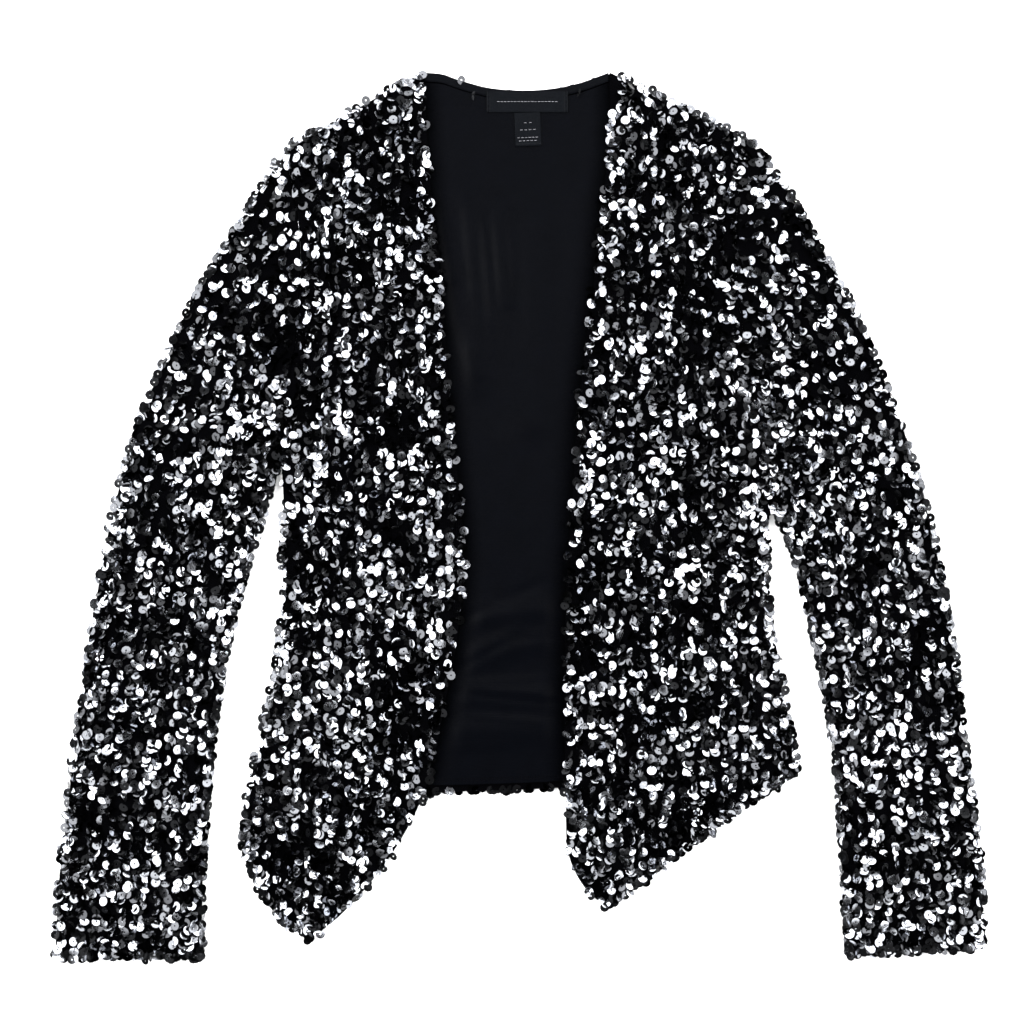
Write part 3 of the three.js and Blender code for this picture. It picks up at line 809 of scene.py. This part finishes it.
# strings a shape along rows that are dropped onto a cloth; the result is one plain mesh
def strung(name, rows, cloth, shape, material, fromBelow=False, **sizes):
    height = rowHeight["below" if fromBelow else "above"]
    vertices, edges = [], []
    for row in rows:
        first = len(vertices)
        vertices += [(x * mm, y * mm, height * mm) for x, y in row["points"]]
        edges += [(first + i, first + i + 1) for i in range(len(row["points"]) - 1)]
    mesh = bpy.data.meshes.new(name)
    mesh.from_pydata(vertices, edges, [])
    for key in rows[0]["values"]:
        values = np.concatenate([[row["values"][key]] * len(row["points"]) for row in rows])
        mesh.attributes.new(key, "FLOAT", "POINT").data.foreach_set("value", values)
    piece = bpy.data.objects.new(name, mesh)
    bpy.context.scene.collection.objects.link(piece)
    modifier = piece.modifiers.new("strung", "NODES")
    modifier.node_group = stringing
    values = {
        "Cloth": cloth, "Shape": shape, "Material": material,
        "Ray": (0.0, 0.0, 1.0 if fromBelow else -1.0),
        "Spacing": sizes["spacing"] * mm, "Lift": sizes.get("lift", 0.0) * mm,
        "Pitch Spread": sizes.get("pitchSpread", 0.0) * degree,
        "Roll Spread": sizes.get("rollSpread", 0.0) * degree,
        "Turn Spread": sizes.get("turnSpread", 0.0) * degree,
        "Size Spread": sizes.get("sizeSpread", 0.0),
        "Flip Share": sizes.get("flipShare", 0.0),
        "Missing": sizes.get("missing", 0.0), "Seed": sizes.get("seed", 1),
        "Scatter": sizes.get("scatter", 0.0) * mm, "Drift": sizes.get("drift", 0.0),
    }
    for item in stringing.interface.items_tree:
        if item.in_out == "INPUT" and item.name in values:
            modifier[item.identifier] = values[item.name]
    graph = bpy.context.evaluated_depsgraph_get()
    plain = bpy.data.meshes.new_from_object(
        piece.evaluated_get(graph), preserve_all_data_layers=True, depsgraph=graph
    )
    piece.modifiers.clear()
    piece.data = plain
    plain.name = piece.name
    raiseShapes(plain, len(shape.data.vertices), sizes.get("dip", clearance["anyDip"]))
    for attributeName in [a.name for a in plain.attributes if a.name in usedUp]:
        plain.attributes.remove(plain.attributes[attributeName])
    print(f"{piece.name}: {len(plain.polygons)} faces")
    return piece


# rows of sequins, in millimetres: their distance, how unevenly each starts, how far it is shifted and
# sways, over waves of this length, and how far apart its points are; round is a full turn in radians,
# and a sleeve's rows reach so far from its middle line, over so many points, with the fewest kept
rowForm = {
    "gap": 7.9, "start": 3, "shift": 0.4, "sway": 0.9, "wave": (50, 90), "round": 6.28, "step": 4.0,
    "sleeveReach": 130, "sleevePoints": 170, "sleeveFewest": 3,
}


# rows that run down a panel, each wandering a little; box is its left, right, bottom and top, and bare
# is the left, the right and the foot of a strip without sequins
def rowsDown(box, lean, seed, bare=(0, 0, 0)):
    draw = np.random.default_rng(seed)
    made = []
    left, right, bottom, top = box
    bareLeft, bareRight, bareBottom = bare
    for x0 in np.arange(left + rowForm["gap"] / 2, right, rowForm["gap"]):
        start = bareBottom if bareLeft < x0 < bareRight else top
        y = np.arange(start - draw.uniform(0, rowForm["start"]), bottom, -rowForm["step"])
        phase, wave = draw.uniform(0, rowForm["round"]), draw.uniform(*rowForm["wave"])
        sway = rowForm["sway"] * np.sin(y / wave * rowForm["round"] + phase)
        x = x0 + draw.normal(0, rowForm["shift"]) + sway
        made.append(makeRow(np.stack([x, y], -1), *lean))
    return made


# rows that run down a sleeve, side by side from its middle line
def rowsAlongSleeve(planAt, lean, seed):
    draw = np.random.default_rng(seed)
    down = equal(rowForm["sleevePoints"])
    start, end = planAt(np.zeros_like(down), down), planAt(np.ones_like(down), down)
    way = np.gradient((start + end) / 2, axis=0)
    way /= np.linalg.norm(way, axis=-1)[:, None]
    width = np.abs((end - start)[:, 0] * way[:, 1] - (end - start)[:, 1] * way[:, 0])
    made = []
    for offset in np.arange(-rowForm["sleeveReach"], rowForm["sleeveReach"], rowForm["gap"]):
        waves = down * sleeve["length"] / draw.uniform(*rowForm["wave"]) * rowForm["round"]
        sway = rowForm["sway"] * np.sin(waves + draw.uniform(0, rowForm["round"]))
        across = 0.5 + (offset + draw.normal(0, rowForm["shift"]) + sway) / width
        started = down * sleeve["length"] >= draw.uniform(0, rowForm["start"])
        inside = (across > 0) & (across < 1) & started
        if inside.sum() > rowForm["sleeveFewest"]:
            made.append(makeRow(planAt(across[inside], down[inside]), *lean))
    return made


# a row along an edge, its sequins turned outwards; side is 1 where outwards is right of its way
def edgeRow(line, inset, side, pitch=4, roll=8, stray=0.5, loose=1.0, step=4.0):
    count = max(int(lineLength(line) / step), 2)
    points = along(line, equal(count))
    way = np.gradient(points, axis=0)
    way /= np.linalg.norm(way, axis=-1)[:, None]
    outwards = side * np.stack([way[:, 1], -way[:, 0]], -1)
    return makeRow(points - outwards * inset, pitch, roll, -90 * side, stray, loose)


# materials
def newMaterial(name):
    material = bpy.data.materials.new(name)
    material.use_nodes = True
    tree = material.node_tree
    shader = tree.nodes["Principled BSDF"]
    return material, tree, shader


def shaded(colour, factor=1.0):
    return (*[part * factor for part in colour], 1)


# the sequins' reflectances, each with the share of the sequins that reflect less
sequinFinish = {
    "shares": [
        (0.0, 0.003), (0.16, 0.004), (0.2, 0.03), (0.34, 0.07), (0.46, 0.11), (0.55, 0.22), (1.0, 0.37),
    ],
    "tint": (0.95, 0.98, 1.06),
    "roughness": 0.14,
}


def sequinMaterial(name, finish):
    material, tree, shader = newMaterial(name)
    tone = addNode(tree, "ShaderNodeAttribute", attribute_name="tone")
    shade = addNode(tree, "ShaderNodeValToRGB", {0: tone.outputs["Fac"]})
    stops = shade.color_ramp.elements
    for position, value in finish["shares"]:
        stop = stops[0] if position == 0 else stops[-1] if position == 1 else stops.new(position)
        stop.color = shaded(finish["tint"], value)
    tree.links.new(shade.outputs[0], shader.inputs["Base Color"])
    shader.inputs["Metallic"].default_value = 1.0
    shader.inputs["Roughness"].default_value = finish["roughness"]
    return material


# threads, and the strands that show in them
threadStrands = {"scale": 3000.0, "detail": 2.0, "dark": (0.3, 0.7), "light": (0.7, 1.3)}
threadFinishes = {
    "blackThread": {"colour": (0.001, 0.001, 0.0014), "roughness": 0.8, "gloss": 0.01},
    "paleThread": {"colour": (0.12, 0.12, 0.13), "roughness": 0.6, "gloss": 0.2},
}


def threadMaterial(name):
    finish = threadFinishes[name]
    material, tree, shader = newMaterial(name)
    place = addNode(tree, "ShaderNodeTexCoord").outputs["Object"]
    strands = addNode(
        tree, "ShaderNodeTexNoise",
        {"Vector": place, "Scale": threadStrands["scale"], "Detail": threadStrands["detail"]},
    )
    shade = addNode(tree, "ShaderNodeValToRGB", {0: strands.outputs[0]})
    for stop, (position, factor) in zip(
        shade.color_ramp.elements, (threadStrands["dark"], threadStrands["light"])
    ):
        stop.position = position
        stop.color = shaded(finish["colour"], factor)
    tree.links.new(shade.outputs[0], shader.inputs["Base Color"])
    shader.inputs["Roughness"].default_value = finish["roughness"]
    shader.inputs["Specular IOR Level"].default_value = finish["gloss"]
    return material


# knits: a stitch's width and the height of its bump in millimetres; a knit that names a painted-light
# attribute is dimmed by it, as painted shade on its colour and gloss: the attribute says how clear of
# shade each point lies
knitFinishes = {
    "groundKnit": {
        "colour": (0.0005, 0.0005, 0.0007), "stitch": 1.6, "roughness": 0.9, "bump": 0.25,
        "gloss": 0.004,
    },
    "liningJersey": {
        "colour": (0.0005, 0.00065, 0.0012), "stitch": 0.8, "roughness": 0.36, "bump": 0.05,
        "gloss": 0.025, "clear": "clear",
    },
    "bindingSatin": {
        "colour": (0.0006, 0.0008, 0.0014), "stitch": 0.5, "roughness": 0.4, "bump": 0.05,
        "gloss": 0.028,
    },
    "tapeSatin": {
        "colour": (0.0016, 0.0020, 0.0028), "stitch": 0.35, "roughness": 0.4, "bump": 0.04,
        "gloss": 0.027,
    },
}
# how all knits are patterned; the wave texture has one band in this share of a unit
knitPattern = {
    "courses": 0.7, "band": 0.318, "distortion": 0.6, "detail": 1.0,
    "fuzz": 60.0, "fuzzDetail": 4.0, "dark": 0.75, "light": 1.25, "strength": 0.8,
}


def knitMaterial(name):
    finish, stitchWidth = knitFinishes[name], knitFinishes[name]["stitch"] * mm
    material, tree, shader = newMaterial(name)
    place = addNode(tree, "ShaderNodeUVMap", uv_map="cloth").outputs[0]
    stretched = addNode(
        tree, "ShaderNodeMapping",
        {"Vector": place, "Scale": (1 / stitchWidth, knitPattern["courses"] / stitchWidth, 1)},
    ).outputs[0]
    bands = {
        "Vector": stretched, "Scale": knitPattern["band"], "Distortion": knitPattern["distortion"],
        "Detail": knitPattern["detail"],
    }
    wale = addNode(tree, "ShaderNodeTexWave", bands, wave_type="BANDS", bands_direction="X")
    course = addNode(tree, "ShaderNodeTexWave", bands, wave_type="BANDS", bands_direction="Y")
    loops = addNode(
        tree, "ShaderNodeMath", {0: wale.outputs[1], 1: course.outputs[1]}, operation="MULTIPLY"
    )
    fuzz = addNode(
        tree, "ShaderNodeTexNoise",
        {"Vector": place, "Scale": knitPattern["fuzz"], "Detail": knitPattern["fuzzDetail"]},
    )
    mottle = addNode(
        tree, "ShaderNodeMix", {"Factor": fuzz.outputs[0]}, data_type="RGBA", blend_type="MIX"
    )
    # a mix of colours has them in sockets 6 and 7, and its result in 2
    mottle.inputs[6].default_value = shaded(finish["colour"], knitPattern["dark"])
    mottle.inputs[7].default_value = shaded(finish["colour"], knitPattern["light"])
    shader.inputs["Specular IOR Level"].default_value = finish["gloss"]
    knitColour = mottle.outputs[2]
    # painted shade: the attribute dims both the colour and the gloss
    if "clear" in finish:
        clear = addNode(tree, "ShaderNodeAttribute", attribute_name=finish["clear"]).outputs["Fac"]
        knitColour = addNode(
            tree, "ShaderNodeVectorMath", {0: knitColour, "Scale": clear}, operation="SCALE"
        ).outputs[0]
        shine = addNode(tree, "ShaderNodeMath", {0: clear, 1: finish["gloss"]}, operation="MULTIPLY")
        tree.links.new(shine.outputs[0], shader.inputs["Specular IOR Level"])
    tree.links.new(knitColour, shader.inputs["Base Color"])
    bump = addNode(
        tree, "ShaderNodeBump",
        {
            "Height": loops.outputs[0], "Distance": finish["bump"] * mm,
            "Strength": knitPattern["strength"],
        },
    )
    tree.links.new(bump.outputs[0], shader.inputs["Normal"])
    shader.inputs["Roughness"].default_value = finish["roughness"]
    return material


sequinBlack = sequinMaterial("sequinBlack", sequinFinish)
blackThread = threadMaterial("blackThread")
paleThread = threadMaterial("paleThread")
clothsOf = {
    "groundKnit": [frontRightCloth, frontLeftCloth, backCloth, sleeveRightCloth, sleeveLeftCloth],
    "liningJersey": [liningCloth],
    "bindingSatin": [neckBinding],
    "tapeSatin": [labelTape, tabTape],
}
for materialName, cloths in clothsOf.items():
    material = knitMaterial(materialName)
    for piece in cloths:
        piece.data.materials.append(material)
print("materials made")

# sequins on top: angles in degrees, sizes in millimetres, the rest as shares
strewn = {
    "spacing": 3.3, "lift": 0.8, "pitchSpread": 24, "rollSpread": 25, "turnSpread": 62,
    "sizeSpread": 0.06, "flipShare": 0.3, "missing": 0.04, "scatter": 1.7, "drift": 2.1,
}
hangingDip = 0.75  # how deep the fronts' sequins may go into cloth that is seen from beneath
# pitch and roll of the sequins in degrees
leans = {"frontRight": (17, 39), "frontLeft": (17, 38), "sleeve": (16, 36), "pressed": (2, 0)}
# how far inside each edge its row lies, in millimetres
edge = {
    "opening": 2.6, "side": 1.4, "hem": 3.6, "cuff": 4.2, "shoulder": 1.0,
    "sleeveOuter": 2.0, "sleeveInner": 2.6, "pressed": 1.6, "peeking": 2.6,
}
# a few sequins hang loose along the openings, far apart
looseEdge = {"pitch": 10, "roll": 25, "stray": 1.0, "loose": 6.0}
flatEdge = {"pitch": 1, "roll": 0}
# where rows run: left, right, bottom and top
panelBox = {
    "frontRight": (-224, -36, -350, 350), "frontLeft": (28, 226, -330, 350),
    "back": (-224, 226, -222, 350),
}
# the points at the start of an edge that another piece covers
covered = {"side": 22, "openingLeft": 24, "sleeveInner": 26}
# how many points an edge gets that has no seam line of its own
edgePoints = {"hem": 20, "cuff": 30, "backHem": 60, "liningHem": 80}

hemShare = equal(edgePoints["hem"])
rightHem = frontRightSide[-1] + (opening["right"][-1] - frontRightSide[-1]) * hemShare[:, None]
rightHem += rightHemBend(hemShare, np.ones_like(hemShare))
leftHem = opening["left"][-1] + (side["left"][-1] - opening["left"][-1]) * hemShare[:, None]
rightRows = rowsDown(panelBox["frontRight"], leans["frontRight"], 11) + [
    edgeRow(opening["right"], edge["opening"], -1, **looseEdge),
    edgeRow(side["right"][covered["side"]:], edge["side"], 1),
    edgeRow(smoothLine(loweredSideRight), edge["side"], 1),
    edgeRow(rightHem, edge["hem"], 1),
    edgeRow(smoothLine([armholeRight[0], neckline[0]]), edge["shoulder"], -1),
]
# the left front has no sequins where its facing turns out at the neck
bareStrip = (66, 79, 322)
leftShoulderStart = (78, 341)
leftRows = rowsDown(panelBox["frontLeft"], leans["frontLeft"], 12, bareStrip) + [
    edgeRow(opening["left"][covered["openingLeft"]:], edge["opening"], 1, **looseEdge),
    edgeRow(side["left"][covered["side"]:], edge["side"], -1),
    edgeRow(leftHem, edge["hem"], 1),
    edgeRow(smoothLine([leftShoulderStart, armholeLeft[0]]), edge["shoulder"], -1),
]


# rows along both folded edges of a sleeve, and round its cuff
def sleeveEdges(planAt, outwards):
    down = equal(rowForm["sleevePoints"])
    outer, inner = planAt(np.zeros_like(down), down), planAt(np.ones_like(down), down)
    acrossCuff = equal(edgePoints["cuff"])
    cuff = planAt(acrossCuff, np.ones_like(acrossCuff))
    return [
        edgeRow(outer, edge["sleeveOuter"], -outwards),
        edgeRow(inner[covered["sleeveInner"]:], edge["sleeveInner"], outwards),
        edgeRow(cuff, edge["cuff"], -outwards),
    ]


frontRightSequins = strung(
    "frontRightSequins", rightRows, frontRightCloth, smoothSequin, sequinBlack, seed=21,
    dip=hangingDip, **strewn
)
frontLeftSequins = strung(
    "frontLeftSequins", leftRows, frontLeftCloth, smoothSequin, sequinBlack, seed=22,
    dip=hangingDip, **strewn
)
sleeveRightSequins = strung(
    "sleeveRightSequins", rowsAlongSleeve(planRight, leans["sleeve"], 13) + sleeveEdges(planRight, -1),
    sleeveRightCloth, smoothSequin, sequinBlack, seed=23, **strewn
)
sleeveLeftSequins = strung(
    "sleeveLeftSequins", rowsAlongSleeve(planLeft, leans["sleeve"], 14) + sleeveEdges(planLeft, 1),
    sleeveLeftCloth, smoothSequin, sequinBlack, seed=24, **strewn
)

# the back's sequins and the sleeves' undersides lie pressed flat on the surface
pressed = {
    "spacing": 3.6, "lift": 0.2, "pitchSpread": 2, "rollSpread": 3, "turnSpread": 60,
    "sizeSpread": 0.06, "missing": 0.04, "scatter": 1.0, "fromBelow": True,
}
hemX = np.linspace(sideRight[-1][0], sideLeft[-1][0], edgePoints["backHem"])
backHem = np.stack([hemX, backHemY(hemX)], -1)
backRows = rowsDown(panelBox["back"], leans["pressed"], 15) + [
    edgeRow(backHem, edge["pressed"], 1, step=3.2, **flatEdge),
    edgeRow(side["right"], edge["pressed"], 1, **flatEdge),
    edgeRow(side["left"], edge["pressed"], -1, **flatEdge),
]
backSequins = strung("backSequins", backRows, backCloth, pressedSequin, sequinBlack, seed=25, **pressed)
sleeveRightUnder = strung(
    "sleeveRightUnder", rowsAlongSleeve(planRight, leans["pressed"], 16), sleeveRightCloth,
    pressedSequin, sequinBlack, seed=26, **pressed
)
sleeveLeftUnder = strung(
    "sleeveLeftUnder", rowsAlongSleeve(planLeft, leans["pressed"], 17), sleeveLeftCloth,
    pressedSequin, sequinBlack, seed=27, **pressed
)
# some sequins of the back hang below its hem
peeking = {
    "spacing": 5.2, "lift": 0.1, "pitchSpread": 10, "rollSpread": 25, "turnSpread": 50,
    "sizeSpread": 0.06, "flipShare": 0.3, "missing": 0.4,
}
hemSequins = strung(
    "hemSequins", [edgeRow(backHem, edge["peeking"], 1, pitch=-4, roll=0)], backCloth, smoothSequin,
    sequinBlack, seed=28, **peeking
)
# three strays at the neck, two tucked over the binding and one caught under its seam: where each one's
# short row starts and ends, and its pitch, roll and turn in degrees
tucked = {"spacing": 5.0, "rollSpread": 4}
bindingPlaces = [((-45, 336.8), (-45, 342.5), 24, 30, 160), ((46, 331.5), (46, 338), 30, 60, 150)]
liningPlaces = [((-35.5, 324.4), (-35.5, 330), 6, 60, 0)]


def strayRows(places):
    return [makeRow([start, end], *angles) for start, end, *angles in places]


bindingStrays = strung(
    "bindingStrays", strayRows(bindingPlaces), neckBinding, smoothSequin, sequinBlack, seed=29, **tucked
)
liningStray = strung(
    "liningStray", strayRows(liningPlaces), liningCloth, smoothSequin, sequinBlack, seed=30, **tucked
)
print("sequins strung")

# stitching, in millimetres
stitching = {"spacing": 3.0, "lift": 0.02, "turnSpread": 4, "sizeSpread": 0.08}
liningHem = {"fromX": -196, "toX": 202, "above": (8.5, 10.2)}
# plain woven rules across both tapes
wovenRule = {"spacing": 2.6, "lift": -0.02, "sizeSpread": 0.05}


def liningHemRow(above):
    x = np.linspace(liningHem["fromX"], liningHem["toX"], edgePoints["liningHem"])
    return makeRow(np.stack([x, backHemY(x) + above], -1))


# a row down the label near its end; side is -1 at the left end
def labelEndRow(side):
    x = label["x"] + side * (label["width"] / 2 - label["stitchIn"])
    top = label["top"] - label["stitchClear"]
    foot = label["top"] - label["height"] + label["stitchClear"]
    return makeRow(np.array([(x, top), (x, foot)], float))


def ruleRows(tape):
    tilt = tape.get("tilt", 0)
    made = []
    for below, half in tape["rules"]:
        middle = np.array([tape["x"], tape["top"] - below])
        reach = half * np.array([math.cos(tilt), math.sin(tilt)])
        made.append(makeRow(np.array([middle - reach, middle + reach])))
    return made


liningStitches = strung(
    "liningStitches", [liningHemRow(above) for above in liningHem["above"]], liningCloth, stitchShape,
    blackThread, seed=31, **stitching
)
labelStitches = strung(
    "labelStitches", [labelEndRow(-1), labelEndRow(1)], labelTape, stitchShape, blackThread,
    seed=33, **stitching
)
labelRule = strung(
    "labelRule", ruleRows(label), labelTape, stitchShape, paleThread, seed=34, **wovenRule
)
tabRules = strung("tabRules", ruleRows(tab), tabTape, stitchShape, paleThread, seed=35, **wovenRule)
for shape in (smoothSequin, pressedSequin, stitchShape):
    bpy.data.objects.remove(shape)
print("stitching done")

replaced = [
    (frontRightCloth, "front_right"), (frontLeftCloth, "front_left"), (backCloth, "back"),
    (liningCloth, "back_lining"), (neckBinding, "neck_band"),
    (sleeveRightCloth, "sleeve_right"), (sleeveLeftCloth, "sleeve_left"),
    (labelTape, "neck_label"), (tabTape, "size_tab"),
]
slots = {
    "sequin_cloth": [
        frontRightCloth, frontLeftCloth, backCloth, sleeveRightCloth, sleeveLeftCloth,
        frontRightSequins, frontLeftSequins, sleeveRightSequins, sleeveLeftSequins,
        backSequins, sleeveRightUnder, sleeveLeftUnder, hemSequins, bindingStrays, liningStray,
    ],
    "lining": [liningCloth, neckBinding, liningStitches],
    "label": [labelTape, tabTape, labelStitches, labelRule, tabRules],
}
for slotName, members in slots.items():
    for piece in members:
        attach(piece, "root")
for piece, node in replaced:
    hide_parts(node)

# the floor's paper in millimetres, and the brightness of the room above and below the horizon
studio = {
    "tone": 0.9, "roughness": 0.9, "reach": 1250, "depth": -0.2,
    "above": 0.012, "below": 1.0, "horizon": 0.01,
}
# the camera looks straight down at the picture's middle; a pixel's size and the places in millimetres
view = {
    "pixelSize": 0.78, "imageSide": 1024, "middleX": -5.85, "middleY": 2.7,
    "lens": 85, "sensor": 36, "farthest": 50,
}
# name, width, height, watts, place; in metres
lights = [
    ("key", 0.25, 0.25, 9, (0.0, 0.42, 2.5)),
    ("left", 2.6, 2.4, 169, (-1.6, 0.3, 0.95)),
    ("right", 2.4, 2.2, 133, (1.6, 0.4, 0.9)),
    ("neckSide", 2.4, 1.5, 98, (0.1, 1.8, 0.8)),
    ("hemSide", 2.0, 1.1, 52, (0.0, -1.9, 0.6)),
]


def makeFloor():
    reach, depth = studio["reach"], studio["depth"]
    corners = [(x * reach, y * reach, depth) for x, y in ((-1, -1), (1, -1), (1, 1), (-1, 1))]
    floor = makeObject("floor", corners, [(0, 1, 2, 3)], smooth=False)
    material, tree, shader = newMaterial("floorPaper")
    shader.inputs["Base Color"].default_value = (*[studio["tone"]] * 3, 1)
    shader.inputs["Roughness"].default_value = studio["roughness"]
    floor.data.materials.append(material)


def makeLight(name, width, height, watts, place):
    light = bpy.data.lights.new(name, "AREA")
    light.shape = "RECTANGLE"
    light.size, light.size_y = width, height
    light.energy = watts
    lamp = bpy.data.objects.new(name, light)
    bpy.context.scene.collection.objects.link(lamp)
    lamp.location = place
    lamp.rotation_euler = Vector(place).to_track_quat("Z", "Y").to_euler()


def makeCamera():
    data = bpy.data.cameras.new("camera")
    data.lens = view["lens"]
    data.sensor_width = view["sensor"]
    data.clip_end = view["farthest"]
    camera = bpy.data.objects.new("camera", data)
    bpy.context.scene.collection.objects.link(camera)
    field = view["pixelSize"] * view["imageSide"] * mm
    distance = field * data.lens / data.sensor_width
    camera.location = (view["middleX"] * mm, view["middleY"] * mm, distance)
    bpy.context.scene.camera = camera


# a dark room over the floor, and beyond its edge the same white
def makeWorld():
    world = bpy.data.worlds.new("studio")
    world.use_nodes = True
    tree = world.node_tree
    background = tree.nodes["Background"]
    background.inputs["Color"].default_value = (1, 1, 1, 1)
    way = addNode(tree, "ShaderNodeTexCoord").outputs["Generated"]
    height = addNode(tree, "ShaderNodeSeparateXYZ", {0: way}).outputs[2]
    horizon = {"From Min": -studio["horizon"], "From Max": studio["horizon"]}
    brightness = {"To Min": studio["below"], "To Max": studio["above"]}
    strength = addNode(tree, "ShaderNodeMapRange", {"Value": height, **horizon, **brightness}).outputs[0]
    tree.links.new(strength, background.inputs["Strength"])
    bpy.context.scene.world = world


makeFloor()
for light in lights:
    makeLight(*light)
makeCamera()
makeWorld()
bpy.context.scene.view_settings.view_transform = "Standard"
print("floor, lights and camera set")
